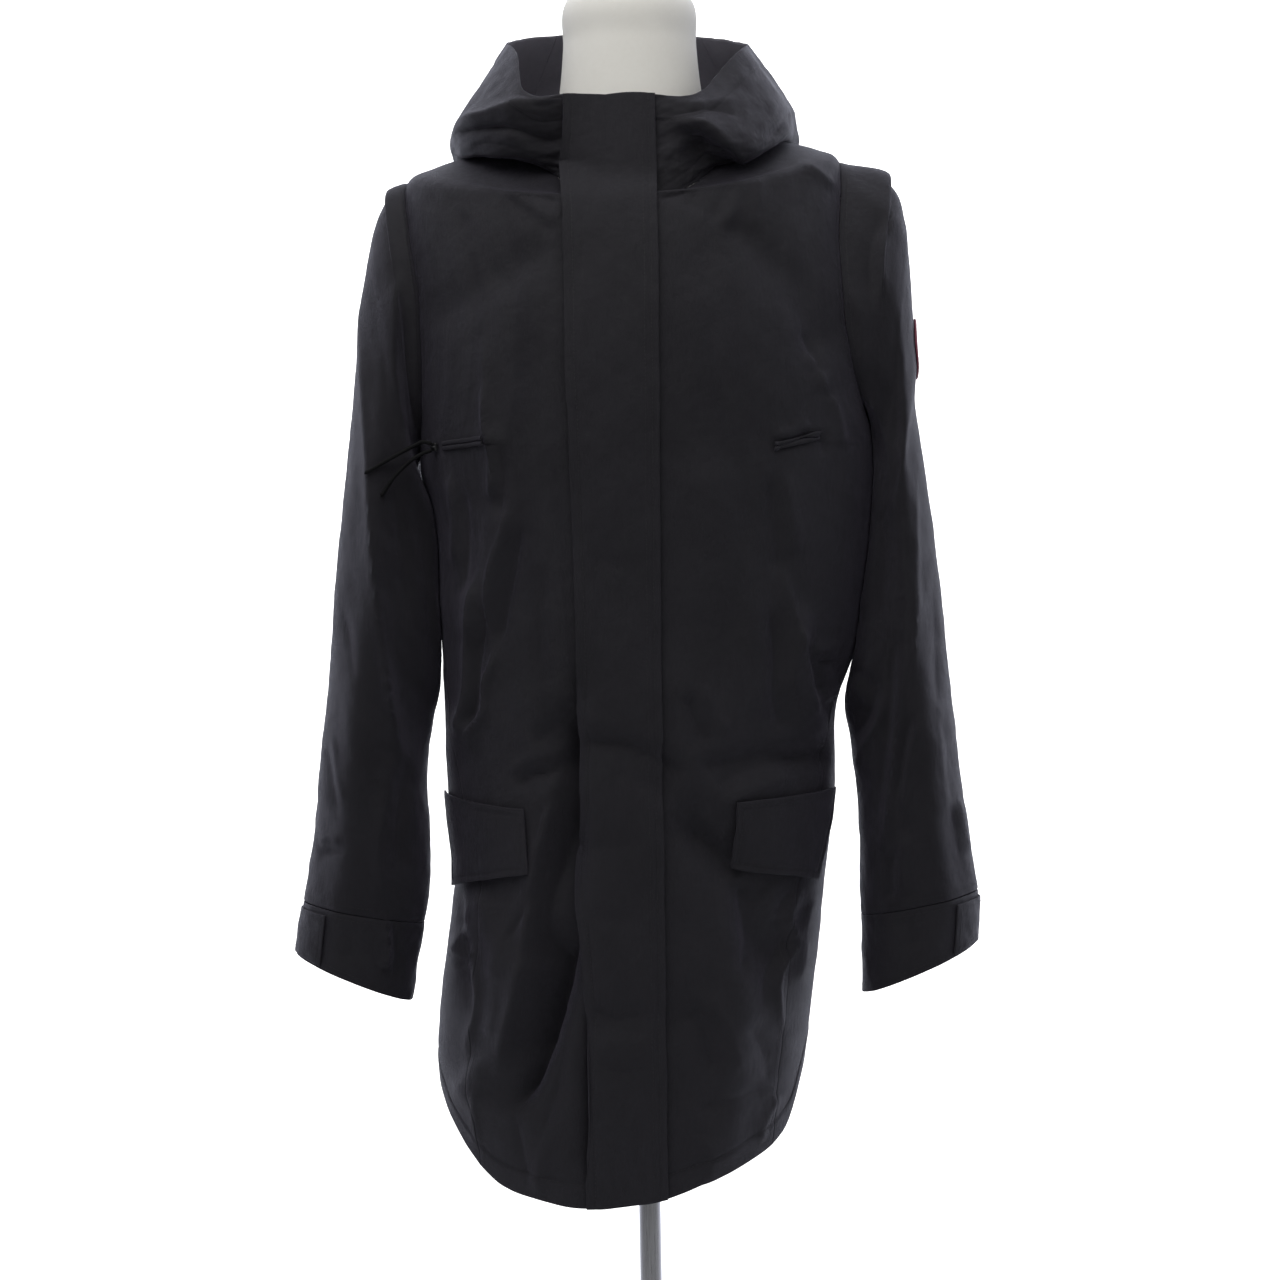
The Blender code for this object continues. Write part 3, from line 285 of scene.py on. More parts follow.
# %% Deep folds, which the rigid model has too
DEEP_FOLDS = (
    # x, z, x, z, x, z, width, height
    (-0.06, 0.942, -0.074, 0.812, -0.099, 0.69, 0.018, -0.013),
    (-0.1, 0.745, -0.115, 0.699, -0.15, 0.643, 0.014, 0.008),
    (-0.141, 1.06, -0.139, 0.989, -0.153, 0.943, 0.011, 0.005),
    (-0.121, 1.19, -0.112, 1.144, -0.134, 1.043, 0.013, 0.006),
    (0.06, 1.15, 0.085, 1.06, 0.1, 0.98, 0.022, 0.005),
    (0.045, 0.866, 0.073, 0.83, 0.104, 0.762, 0.02, -0.011),
    (0.133, 1.037, 0.13, 0.985, 0.146, 0.949, 0.011, 0.006),
    (0.06, 0.918, 0.105, 0.926, 0.155, 0.922, 0.009, -0.006),
    (0.078, 0.8, 0.075, 0.7, 0.06, 0.6, 0.022, 0.007),
    (-0.135, 0.8, -0.12, 0.76, -0.125, 0.7, 0.012, 0.006),
    (-0.155, 1.31, -0.12, 1.33, -0.085, 1.35, 0.018, -0.005),
    (0.16, 1.28, 0.13, 1.33, 0.095, 1.365, 0.018, -0.005),
)
SHARED_FOLDS = (
    (-0.095, 0.915, -0.021, 0.938, 0.014, 0.905, 0.018, -0.004),
    (-0.090, 0.715, -0.020, 0.708, 0.020, 0.714, 0.020, -0.004),
)
BACK_FOLDS = (
    (-0.06, 0.98, -0.085, 0.84, -0.105, 0.68, 0.022, -0.011),
    (0.02, 0.95, 0.025, 0.8, 0.01, 0.65, 0.024, 0.008),
    (0.075, 0.96, 0.095, 0.83, 0.1, 0.7, 0.02, -0.01),
    (-0.12, 1.15, -0.08, 1.06, -0.04, 1.01, 0.016, -0.006),
    (0.13, 1.14, 0.085, 1.05, 0.05, 1, 0.016, -0.006),
    (-0.15, 1.29, -0.12, 1.22, -0.11, 1.15, 0.022, 0.005),
    (0.15, 1.29, 0.125, 1.22, 0.115, 1.15, 0.022, 0.004),
)
FLAP_SHARE = 0.12  # how much of a deep trough the storm flap follows

# %% Finer creases of the front
FRONT_CREASES = in_metres((
    # height, width, roundness, then x and z of its points, all in millimetres
    # the wearer's right side, from under the hood down
    (-3.2, 8, 3, (-120, 1420, -107, 1401, -82, 1380, -61, 1365)),
    (2.8, 8, 3, (-114, 1424, -99, 1407, -74, 1386, -60, 1375)),
    (-2.9, 4.7, 1.7, (-97, 1403, -78, 1399, -60, 1393)),
    (-2, 8, 3, (-150, 1394, -129, 1356, -96, 1313)),
    (2.9, 5.4, 1.7, (-127, 1288, -125, 1228, -124, 1186)),
    (5.4, 3.6, 1.2, (-125, 1252, -123, 1203, -121, 1169, -124, 1140)),
    (-4.3, 4.2, 1.2, (-118, 1195, -115, 1161, -119, 1127)),
    (6.3, 4.2, 1.2, (-106, 1144, -111, 1119, -122, 1087, -127, 1055, -132, 1030)),
    (-5.4, 4.2, 1.7, (-99, 1127, -105, 1093, -115, 1051, -120, 1018)),
    (6.3, 3.6, 1.2, (-134, 1089, -143, 1050, -147, 985, -154, 959, -157, 941)),
    (-5.9, 4.2, 1.7, (-126, 1068, -136, 1026, -141, 976, -149, 947)),
    (5.9, 3.6, 1.2, (-121, 1026, -123, 1005, -130, 989, -131, 966, -143, 951, -153, 934)),
    (3.4, 3.6, 1.2, (-160, 1171, -155, 1128, -158, 1086)),
    (-3.4, 3.6, 1.2, (-148, 1162, -145, 1111, -151, 1060)),
    (-2.9, 9.4, 2.8, (-79, 1093, -84, 1026, -78, 975)),
    (-3.6, 6.3, 1.7, (-54, 975, -75, 952, -94, 938)),
    (-4.4, 4.7, 1.4, (-55, 925, -76, 915, -95, 911, -107, 900)),
    (3.2, 5.4, 1.7, (-53, 940, -75, 929, -97, 923, -113, 912)),
    (-2.5, 4.7, 1.7, (-64, 899, -82, 881, -88, 850)),
    # the deep trough beside the flap, which leaves it downwards, and the ridge beyond it
    (-7.5, 6, 2, (-52, 1010, -53, 950, -52, 880, -54, 820)),
    (10.5, 9.5, 3.6, (-60, 960, -72, 895, -88, 830, -97, 765, -112, 700, -136, 645)),
    (-23, 8, 2.4, (-50, 900, -54, 840, -64, 775, -81, 705, -102, 655, -120, 620)),
    # the skirt on the wearer's right
    (-3.2, 9.2, 4.5, (-125, 745, -126, 712, -136, 682, -152, 664)),
    (3.4, 9, 3, (-75, 735, -92, 690, -118, 645)),
    (-3, 5.4, 1.7, (-67, 700, -76, 655, -87, 620, -93, 586)),
    (2.9, 6.3, 2.2, (-87, 623, -91, 590, -94, 556)),
    (-2.9, 5.4, 1.7, (-114, 628, -108, 599, -100, 565)),
    (3.6, 4.7, 1.2, (-143, 649, -146, 624, -144, 590)),
    (-5.4, 4.7, 1.7, (-49, 724, -49, 648, -52, 561)),
    (2.2, 8, 3.3, (-96, 816, -115, 782, -126, 757, -134, 737)),
    (-2.9, 5.4, 1.7, (-83, 824, -98, 795, -118, 770)),
    (3, 3.6, 1.8, (-150, 784, -159, 770, -168, 754)),
    (-3, 4.6, 1.8, (-144, 781, -152, 760, -162, 743)),
    (4.8, 3.4, 1.2, (-153, 817, -149, 788, -144, 746, -143, 712, -150, 688, -155, 663)),
    (-2.7, 4.6, 1.8, (-157, 815, -156, 781, -151, 735, -153, 697)),
    # the storm flap and the placket
    (-2.4, 7.8, 2.2, (-41, 1092, -16, 1086, 14, 1091)),
    (2.4, 7, 2.2, (-51, 958, -35, 954, -1, 945, 22, 938)),
    (-4, 5.4, 1.7, (-53, 945, -35, 939, -6, 934, 22, 919, 36, 906)),
    (2.9, 5.4, 1.7, (-43, 927, -14, 921, 6, 907)),
    (-2.1, 6.3, 2.2, (-44, 803, -28, 790, -4, 794)),
    (-3.2, 6.3, 2.2, (-45, 720, -26, 707, 3, 713)),
    (2.8, 6.3, 2.2, (-39, 686, -18, 688, 7, 683)),
    (-2.9, 5.4, 1.7, (-43, 673, -23, 665, 11, 669)),
    (2.1, 6.3, 2.2, (-40, 623, -28, 616, -7, 621)),
    (-4, 7.8, 2.2, (56, 1466, 29, 1454, -1, 1438, -27, 1420)),
    (3.6, 7, 2.2, (50, 1476, 20, 1465, -9, 1448, -34, 1430)),
    (-1.8, 6.3, 2.2, (-57, 858, -36, 852, 10, 860)),
    # the wearer's left side
    (-3.2, 4, 1.2, (52, 1403, 36, 1398, 21, 1396)),
    (3, 6, 2.4, (93, 1421, 86, 1395, 75, 1368)),
    (-2.8, 6, 2.4, (86, 1422, 78, 1397, 64, 1372)),
    (-2.6, 7, 2.6, (68, 1424, 57, 1403, 43, 1383)),
    (2.5, 5.4, 1.7, (107, 1418, 105, 1395, 97, 1365)),
    (3.2, 4.7, 1.2, (139, 1434, 158, 1423, 176, 1410)),
    (-2.8, 4, 1.2, (115, 1184, 129, 1188, 151, 1198)),
    (2.5, 4.7, 1.4, (113, 1193, 130, 1197, 148, 1205)),
    (-2.8, 4.7, 1.4, (152, 1198, 158, 1189, 162, 1177)),
    (3.6, 4.7, 1.4, (145, 1265, 155, 1248, 159, 1229)),
    (-3.2, 4.7, 1.4, (140, 1284, 150, 1265, 156, 1241)),
    (3.2, 4, 1.2, (163, 1233, 171, 1208, 174, 1182)),
    (3.2, 6.3, 1.7, (122, 1165, 128, 1123, 133, 1089)),
    (-3.2, 6.3, 1.7, (112, 1165, 115, 1115, 119, 1073)),
    (4.7, 4.7, 1.2, (118, 1089, 126, 1051, 131, 1022, 127, 985, 132, 959, 143, 939)),
    (-4.4, 5.4, 1.7, (108, 1056, 115, 1014, 113, 972, 122, 942)),
    (4.7, 4, 1.2, (133, 1039, 136, 1013, 144, 973, 149, 952)),
    (-4, 4, 1.2, (140, 1022, 147, 998, 153, 971)),
    (3.2, 3.1, 1.2, (146, 1011, 159, 1013, 172, 1016)),
    (-3.6, 3.1, 1.2, (148, 1004, 163, 1004, 176, 994)),
    (4, 3.1, 1.2, (152, 971, 164, 975, 174, 979)),
    (-4.4, 6.3, 1.7, (39, 981, 47, 956, 60, 932)),
    (2.9, 6.3, 1.7, (50, 985, 59, 963, 72, 941)),
    (-4.4, 6.3, 1.7, (58, 897, 72, 907, 97, 916, 124, 920, 145, 922)),
    (2.9, 5.4, 1.7, (61, 883, 77, 891, 103, 900, 132, 907)),
    (-4.7, 5.4, 1.7, (34, 868, 51, 856, 68, 841, 80, 823)),
    (3.2, 6.3, 1.7, (39, 881, 58, 869, 69, 854)),
    # the skirt on the wearer's left
    (-6.9, 7.8, 2.2, (79, 823, 84, 799, 86, 766, 81, 733)),
    (3, 7.2, 2.5, (98, 811, 107, 799, 112, 784)),
    (4.6, 3.8, 1.2, (139, 816, 121, 788, 128, 766, 112, 739, 111, 709, 118, 683)),
    (-3.3, 5.4, 2.1, (129, 819, 111, 789, 116, 764, 101, 735, 98, 705)),
    (2.7, 4.6, 1.8, (148, 808, 136, 775, 134, 749, 129, 724)),
    (-2.4, 4.6, 1.8, (142, 800, 132, 779, 134, 759)),
    (-4.4, 7.8, 2.8, (32, 720, 48, 695, 60, 654)),
    (3.2, 7.8, 2.8, (45, 734, 68, 696, 79, 656)), (-3.2, 7, 2.2, (35, 629, 73, 638, 107, 643)),
    (2.9, 7, 2.2, (43, 612, 51, 587, 47, 566)),
    (-2.8, 6.3, 2.2, (83, 704, 99, 674, 102, 644)),
    (3.2, 4.7, 1.4, (113, 637, 99, 616, 92, 595)),
))
print("creases of the front", len(FRONT_CREASES))

# %% Finer creases of the back
BACK_CREASES = in_metres((
    # height, width, roundness, then x and z of its points, all in millimetres
    # from the shoulder blades, where the cloth hangs free
    (2.2, 9, 3, (-118, 1330, -105, 1270, -98, 1200, -104, 1130)),
    (-2, 10, 4, (-98, 1300, -86, 1230, -78, 1160)),
    (2.4, 8, 3, (112, 1335, 102, 1262, 104, 1190, 96, 1110)),
    (-1.8, 9, 3.5, (92, 1300, 80, 1220, 82, 1150)),
    (1.6, 12, 5, (-20, 1330, -12, 1240, -22, 1150)),
    # the armholes' drag lines
    (2, 6, 2, (-160, 1240, -140, 1200, -128, 1150, -130, 1105)),
    (-2, 6, 2.5, (-158, 1215, -146, 1180, -140, 1130)),
    (2, 6, 2, (165, 1235, 148, 1190, 134, 1140, 132, 1090)),
    (-1.8, 6, 2.5, (168, 1210, 155, 1165, 146, 1120)),
    # across the small of the back
    (-2.4, 9, 3.5, (-120, 1040, -70, 1018, -15, 1022, 30, 1010)),
    (2, 9, 3.5, (-110, 1012, -60, 994, -10, 996)),
    (-2.2, 8, 3, (20, 985, 70, 992, 115, 1014, 145, 1030)),
    (1.8, 8, 3, (40, 1030, 80, 1034, 120, 1052)),
    # down the skirt
    (3, 9, 3.5, (-40, 960, -58, 880, -64, 780, -80, 690)),
    (-2.6, 10, 4, (-22, 930, -30, 840, -28, 740)),
    (2.6, 10, 4, (46, 950, 56, 860, 50, 760, 58, 680)),
    (-2.2, 9, 3.5, (116, 930, 126, 850, 122, 770)),
    (2.4, 8, 3, (112, 860, 112, 780, 118, 710)),
    (2.2, 7, 2.5, (-128, 930, -126, 850, -136, 770)),
    (-2, 7, 3, (-142, 900, -146, 820, -142, 740)),
    (-1.8, 12, 5, (0, 780, 10, 710, 4, 650)),
))
print("creases of the back", len(BACK_CREASES))


# %% Surface of the body


def fold_height(folds, x, z):
    """The sum of the folds at points seen from the front: each fades as a bell with the distance."""
    total = np.zeros(np.broadcast(x, z).shape)
    for x0, z0, x1, z1, x2, z2, width, height in folds:
        nearest = np.full(total.shape, np.inf)
        for (ax, az), (bx, bz) in (((x0, z0), (x1, z1)), ((x1, z1), (x2, z2))):
            length = (bx - ax) ** 2 + (bz - az) ** 2
            t = np.clip(((x - ax) * (bx - ax) + (z - az) * (bz - az)) / length, 0, 1)
            away = (x - ax - t * (bx - ax)) ** 2 + (z - az - t * (bz - az)) ** 2
            nearest = np.minimum(nearest, away)
        total += height * np.exp(-nearest / width**2)
    return total


def ring_point(table, angle, along):
    """A point of a ring: x and y are powers of the angle's sine and cosine times the half widths."""
    height, right, left, front, back, dip, tilt = read_table(table, along)
    across, ahead = np.sin(np.radians(angle)), np.cos(np.radians(angle))
    x = np.where(across < 0, right, left) * signed_power(across, ROUNDNESS)
    y = np.where(ahead > 0, -front, -back) * signed_power(ahead, ROUNDNESS)
    z = height - dip * np.clip(ahead, 0, 1) ** 1.5 + tilt * across
    return x, y, z


def hem_height(angle):
    """The hem's height at an angle from the front, which may pass 180 degrees."""
    turned = (np.asarray(angle, float) + 180) % 360 - 180
    return read_table(HEM, turned)[0]


def level_at(along, angle):
    """The height at which a ring is read: below the hip the rings sink towards the hem's curve."""
    up = np.clip((along - HEM_ALONG) / (HIP_ALONG - HEM_ALONG), 0, 1)
    hem = hem_height(angle)
    return np.where(along < HIP_ALONG, hem + (HIP_ALONG - hem) * up, along)


RIPPLE = (
    # height, waves a metre across, waves a metre up, shift
    (0.00045, 9, 5, 0.3), (0.00035, -14, 11, 1.7), (0.00028, 23, -7, 4.1), (0.00022, 31, 19, 2.2),
    (0.00016, -47, 28, 5.3),
)


def ripple(x, z):
    """The slight unevenness of hung cloth: a sum of a few sine waves that cross at odd angles."""
    total = np.zeros(np.shape(x))
    for height, across, up, shift in RIPPLE:
        wave = np.sin(2 * np.pi * (across * x + up * z) + shift)
        total += height * wave * np.cos(2 * np.pi * (up * x - across * z) / 2.7 + shift)
    return total


def body_plain(angle, along, deep_share=1.0):
    """A point of the body with the rigid model's folds alone."""
    x, y, z = ring_point(BODY, angle, level_at(along, angle))
    ahead = np.cos(np.radians(angle))
    neck = np.clip((along - SHOULDER_ALONG) / (NECK_ALONG - SHOULDER_ALONG), 0, 1)
    z = z + BACK_NECK_RISE * neck * np.clip(-ahead, 0, 1)
    deep = fold_height(DEEP_FOLDS, x, z)
    deep = np.where(deep < 0, deep * deep_share, deep)
    front = deep + fold_height(SHARED_FOLDS, x, z)
    facing = np.clip(np.abs(ahead) * 2.5, 0, 1)
    out = np.where(ahead > 0, front, fold_height(BACK_FOLDS, x, z)) * facing
    reach = np.hypot(x, y)
    return np.stack([x + out * x / reach, y + out * y / reach, z], axis=-1)


FORM_CLEAR, FORM_EASE = 0.0035, 0.0015  # the least distance from the form, and how softly it is met
FORM_HELD = 1.20  # the height below which creases are kept off it


def form_reach(x, y, z):
    """The form's radius towards a point: its ring is |x/a|^p + |y/b|^p = 1, with p = 2 / ROUNDNESS."""
    _, right, left, front, back, _, _ = read_table(FORM, np.clip(z, FORM[0][0], FORM_HELD))
    reach, power = np.hypot(x, y), 2 / ROUNDNESS
    across = np.abs(x) / reach / np.where(x < 0, right, left)
    ahead = np.abs(y) / reach / np.where(y < 0, front, back)
    return (across**power + ahead**power) ** (-1 / power)


def body(angle, along, deep_share=1.0, fine=1.0):
    """A point of the body with its fine creases and ripple, which are moved out from the middle."""
    angle, along = np.broadcast_arrays(np.asarray(angle, float), np.asarray(along, float))
    plain = body_plain(angle, along, deep_share)
    x, y, z = np.moveaxis(plain, -1, 0)
    ahead = np.cos(np.radians(angle))
    front = crease_height(FRONT_CREASES, x, z) * fine
    rear = crease_height(BACK_CREASES, x, z)
    out = np.where(ahead > 0, front, rear) * np.clip(np.abs(ahead) * 3, 0, 1) + ripple(x, z)
    reach = np.hypot(x, y)
    least = np.where((z > FORM[0][0]) & (z < FORM_HELD), form_reach(x, y, z) + FORM_CLEAR, 0) - reach
    out = (out + least + np.sqrt((out - least) ** 2 + FORM_EASE**2)) / 2
    return np.stack([x + out * x / reach, y + out * y / reach, z], axis=-1)


print("body at the chest", body(np.array(0.0), np.array(1.2)).round(4))

# %% [markdown]
# ## From points to cloth
#
# Cloth has two sides and an edge, and a single layer of faces has neither. So each piece is a closed
# wall: its points moved in and out by half of the cloth's thickness, and faces round the rim. Towards
# the rim the wall thins, which rounds the edge as a turned seam does. The UV map is in metres along the
# threads, so that a weave has the same size everywhere.


# %% Normals, lengths and walls
EDGE_ROUND = 0.0011
EDGE_LEFT = 0.45  # what is left of the thickness at the rim
outer_faces = {}  # the outer face of each piece and its normals, for the sewing


def differences(points, axis, closed=False):
    """Central differences of a grid of points along one axis, round the joint of a closed one."""
    if closed:
        return (np.roll(points, -1, axis) - np.roll(points, 1, axis)) / 2
    return np.gradient(points, axis=axis)


def grid_normals(points, closed=False):
    """Unit normals of a grid: the cross product of its steps along a row and along a column."""
    normal = np.cross(differences(points, 1, closed), differences(points, 0))
    return normal / np.maximum(np.linalg.norm(normal, axis=-1, keepdims=True), 1e-12)


def lengths(points, axis):
    """The length run along a grid's rows or columns, from 0 at their first point."""
    step = np.linalg.norm(np.diff(points, axis=axis), axis=-1)
    start = np.zeros_like(np.take(step, [0], axis=axis))
    return np.concatenate([start, np.cumsum(step, axis=axis)], axis=axis)


def to_rim(points, closed):
    """The distance of each point of a grid from the nearest rim."""
    up = lengths(points, 0)
    near = np.minimum(up, up[-1:] - up)
    if not closed:
        across = lengths(points, 1)
        near = np.minimum(near, np.minimum(across, across[:, -1:] - across))
    return near


def new_object(name, points, faces, uv=None, material=None, sharp=50):
    """An object from points and arrays of faces, one array for each number of corners.

    uv has one row for each corner of the faces, in their order.
    """
    faces = faces if isinstance(faces, list) else [faces]
    sizes = np.concatenate([np.full(len(group), group.shape[1], np.int32) for group in faces])
    corners = np.concatenate([group.ravel() for group in faces]).astype(np.int32)
    mesh = bpy.data.meshes.new(name)
    mesh.vertices.add(len(points))
    mesh.vertices.foreach_set("co", np.asarray(points, np.float32).ravel())
    mesh.loops.add(len(corners))
    mesh.loops.foreach_set("vertex_index", corners)
    mesh.polygons.add(len(sizes))
    mesh.polygons.foreach_set("loop_start", (np.cumsum(sizes) - sizes).astype(np.int32))
    mesh.update(calc_edges=True)
    if uv is not None:
        mesh.uv_layers.new(name="threads").data.foreach_set("uv", uv.astype(np.float32).ravel())
    mesh.shade_smooth()
    mesh.set_sharp_from_angle(angle=np.radians(sharp))
    if material is not None:
        mesh.materials.append(material)
    made = bpy.data.objects.new(name, mesh)
    bpy.context.collection.objects.link(made)
    return made


def grid_faces(cell):
    """The four corners of every face of a grid of numbered points."""
    return np.stack([cell[:-1, :-1], cell[:-1, 1:], cell[1:, 1:], cell[1:, :-1]], axis=-1).reshape(-1, 4)


def wall(name, inner, outer, material, closed=False, lining=None):
    """A closed wall between two grids of points. A closed grid goes round like a tube."""
    rows, columns = inner.shape[:2]
    count = rows * columns
    middle = (inner + outer) / 2
    if closed:
        middle = np.concatenate([middle, middle[:, :1]], axis=1)
    across, up = lengths(middle, 1), lengths(middle, 0)
    across = across - across[:, across.shape[1] // 2, None]
    uv_grid = np.stack([across, up], axis=-1).reshape(-1, 2)
    spread = middle.shape[1]
    cell = np.arange(rows * spread).reshape(rows, spread)
    vertex = (cell // spread) * columns + (cell % spread) % columns
    corners = grid_faces(cell)
    rims = [cell[0], cell[-1, ::-1]] + ([] if closed else [cell[:, -1], cell[::-1, 0]])
    rim = np.concatenate([np.stack([edge[:-1], edge[1:], edge[1:], edge[:-1]], axis=-1) for edge in rims])
    vertex = vertex.ravel()
    on_outer, on_inner = vertex[corners] + count, vertex[corners[:, ::-1]]
    on_rim = vertex[rim] + np.array([0, 0, count, count])
    faces = np.concatenate([on_outer, on_inner, on_rim])
    uv = uv_grid[np.concatenate([corners, corners[:, ::-1], rim])]
    points = np.concatenate([inner.reshape(-1, 3), outer.reshape(-1, 3)])
    made = new_object(name, points, faces, uv, material)
    # The inner faces can take a finish of their own, such as the hood's painted-light inside.
    if lining is not None:
        made.data.materials.append(lining)
        inside = np.repeat([0, 1, 0], [len(on_outer), len(on_inner), len(on_rim)]).astype(np.int32)
        made.data.polygons.foreach_set("material_index", inside)
    return made


def shell(name, points, material, out=0.0, thick=CLOTH, relief=0.0, closed=False, lining=None):
    """A cloth wall about a grid of points. out moves it off the surface, relief raises its outer face."""
    normal = grid_normals(points, closed)
    edge = np.clip(1 - to_rim(points, closed) / EDGE_ROUND, 0, 1)
    half = thick / 2 * (EDGE_LEFT + (1 - EDGE_LEFT) * np.sqrt(1 - edge**2))
    low = points + normal * (np.zeros(half.shape) + out - half)[..., None]
    high = points + normal * (np.zeros(half.shape) + out + half + relief)[..., None]
    outer_faces[name] = (high, normal)
    return wall(name, low, high, material, closed, lining)


def with_edges(count, near=(0.0004, 0.0011)):
    """Even values from 0 to 1 with two more close to each end, so that an edge can round."""
    near = np.array(near)
    return np.unique(np.concatenate([np.linspace(0, 1, count), near, 1 - near]))


# %% [markdown]
# ## Sewing
#
# A topstitch is a row of short threads, each of which dips into the cloth at both ends. One stitch is a
# spindle with a square section, set along the seam's path. Thousands of them are made at once as one
# array, and each cloth piece's stitches are one object.


# %% Rows of stitches
STITCH_LENGTH, STITCH_GAP, STITCH_RADIUS = 0.0026, 0.0009, 0.00030
SPINDLE = np.array(
    # place along the stitch, share of its radius, share of its height
    [(-0.5, 0.25, -0.9), (-0.25, 0.9, 0.2), (0.25, 0.9, 0.2), (0.5, 0.25, -0.9)]
)


def stitches(path, normal):
    """Corner points and faces of stitches along a path that lies on cloth with these normals."""
    run = lengths(path[None], 1)[0]
    count = int(run[-1] / (STITCH_LENGTH + STITCH_GAP))
    at = (np.arange(count) + 0.5) * run[-1] / count
    middle, ahead, up = (np.stack([np.interp(at, run, v) for v in a.T], axis=-1) for a in (
        path, np.gradient(path, run, axis=0), normal))
    ahead /= np.linalg.norm(ahead, axis=1, keepdims=True)
    side = np.cross(ahead, up)
    side /= np.linalg.norm(side, axis=1, keepdims=True)
    turn = np.radians(np.arange(45, 360, 90))
    along, radius, rise = SPINDLE.T[:, :, None]
    across = STITCH_RADIUS * radius * np.cos(turn)
    lift = STITCH_RADIUS * (radius * np.sin(turn) + rise)
    points = (
        middle[:, None, None]
        + ahead[:, None, None] * (STITCH_LENGTH * along + 0 * across)[..., None]
        + side[:, None, None] * across[..., None]
        + up[:, None, None] * lift[..., None]
    )
    k, after = np.arange(4), (np.arange(4) + 1) % 4
    bands = [np.stack([r + k, r + after, r + 4 + after, r + 4 + k], axis=-1) for r in (0, 4, 8)]
    one = np.concatenate([*bands, [[3, 2, 1, 0]], [[12, 13, 14, 15]]])
    faces = one[None] + (np.arange(count) * 16)[:, None, None]
    return points.reshape(-1, 3), faces.reshape(-1, 4)


def inset_line(name, distance, axis, from_end=False, ends=0.003):
    """The line at a distance from one border of a piece's outer face, and the normals along it.

    With axis 0 it runs along the first row, with axis 1 along the first column, or from the last one.
    On each column the place between two rows comes from the length run up to them.
    """
    grid, normal = (a if axis == 0 else a.swapaxes(0, 1) for a in outer_faces[name])
    if from_end:
        grid, normal = grid[::-1], normal[::-1]
    run = lengths(grid, 0)
    after = np.clip((run < distance).sum(axis=0), 1, len(run) - 1)
    column = np.arange(grid.shape[1])
    low, high = run[after - 1, column], run[after, column]
    share = ((distance - low) / (high - low))[:, None]
    path = grid[after - 1, column] * (1 - share) + grid[after, column] * share
    along = lengths(path[None], 1)[0]
    kept = (along >= ends) & (along <= along[-1] - ends)
    return path[kept], normal[after, column][kept]


def sewn(name, lines, material):
    """One object from several lines of stitches, each a path with its normals."""
    points, faces, start = [], [], 0
    for path, normal in lines:
        more, quads = stitches(path, normal)
        points.append(more)
        faces.append(quads + start)
        start += len(more)
    return new_object(name, np.concatenate(points), np.concatenate(faces), None, material)


# %% [markdown]
# ## Finishes
#
# The jacket is a dense, matte black shell cloth. Close up it is a plain weave with slightly uneven
# threads. From further away it is almost flat, with a faint mottling and a soft sheen where it is seen
# along its surface. Weave, mottling and rubbed wear are node groups that every finish shares, each with
# its own values. Numbers that are the same all over a finish stay on the shader's own sockets.


# %% Helpers for node trees
def add_node(tree, kind, **settings):
    """A node with its settings, such as an operation or a data type."""
    node = tree.nodes.new(kind)
    for key, value in settings.items():
        setattr(node, key, value)
    return node


def feed(tree, socket, source):
    """Link a socket to another one, or give it a plain value."""
    if isinstance(source, bpy.types.NodeSocket):
        tree.links.new(source, socket)
    elif source is not None:
        socket.default_value = source


def sum_node(tree, operation, first, second=None, third=None):
    """The result of a Math node on sockets or numbers."""
    node = add_node(tree, "ShaderNodeMath", operation=operation)
    for socket, source in zip(node.inputs, (first, second, third)):
        feed(tree, socket, source)
    return node.outputs[0]


def noise_node(tree, vector, scale, detail=2.0, roughness=0.5):
    node = add_node(tree, "ShaderNodeTexNoise")
    for key, source in (("Vector", vector), ("Scale", scale), ("Detail", detail), ("Roughness", roughness)):
        feed(tree, node.inputs[key], source)
    return node.outputs["Fac"]


def stretched_noise(tree, vector, scale, detail=2.0, roughness=0.5):
    """Noise on a vector that has a scale of its own along each axis."""
    mapping = add_node(tree, "ShaderNodeMapping")
    feed(tree, mapping.inputs["Vector"], vector)
    mapping.inputs["Scale"].default_value = scale
    return noise_node(tree, mapping.outputs["Vector"], 1.0, detail, roughness)


def object_place(tree):
    return add_node(tree, "ShaderNodeTexCoord").outputs["Object"]


def between(tree, share, low, high):
    """A colour between two, by a share."""
    node = add_node(tree, "ShaderNodeMix", data_type="RGBA")
    feed(tree, node.inputs["Factor"], share)
    feed(tree, node.inputs[6], low)
    feed(tree, node.inputs[7], high)
    return node.outputs[2]


def ranged(tree, value, low, high, to_low, to_high):
    node = add_node(tree, "ShaderNodeMapRange")
    for socket, source in zip(node.inputs, (value, low, high, to_low, to_high)):
        feed(tree, socket, source)
    return node.outputs["Result"]


def new_group(name, inputs, outputs):
    """A shader node group with named sockets. Returns its tree, its inputs and its output node."""
    tree = bpy.data.node_groups.new(name, "ShaderNodeTree")
    for label, kind, value in inputs:
        socket = tree.interface.new_socket(label, in_out="INPUT", socket_type=kind)
        if value is not None:
            socket.default_value = value
    for label, kind in outputs:
        tree.interface.new_socket(label, in_out="OUTPUT", socket_type=kind)
    return tree, tree.nodes.new("NodeGroupInput").outputs, tree.nodes.new("NodeGroupOutput").inputs


# %% [markdown]
# A plain weave is two sets of threads that cross, each over one and under the next. Dividing the UV map
# by the thread's width gives every thread a number. Where the numbers of the two threads at a place add
# up to an even one, the upright thread is on top.


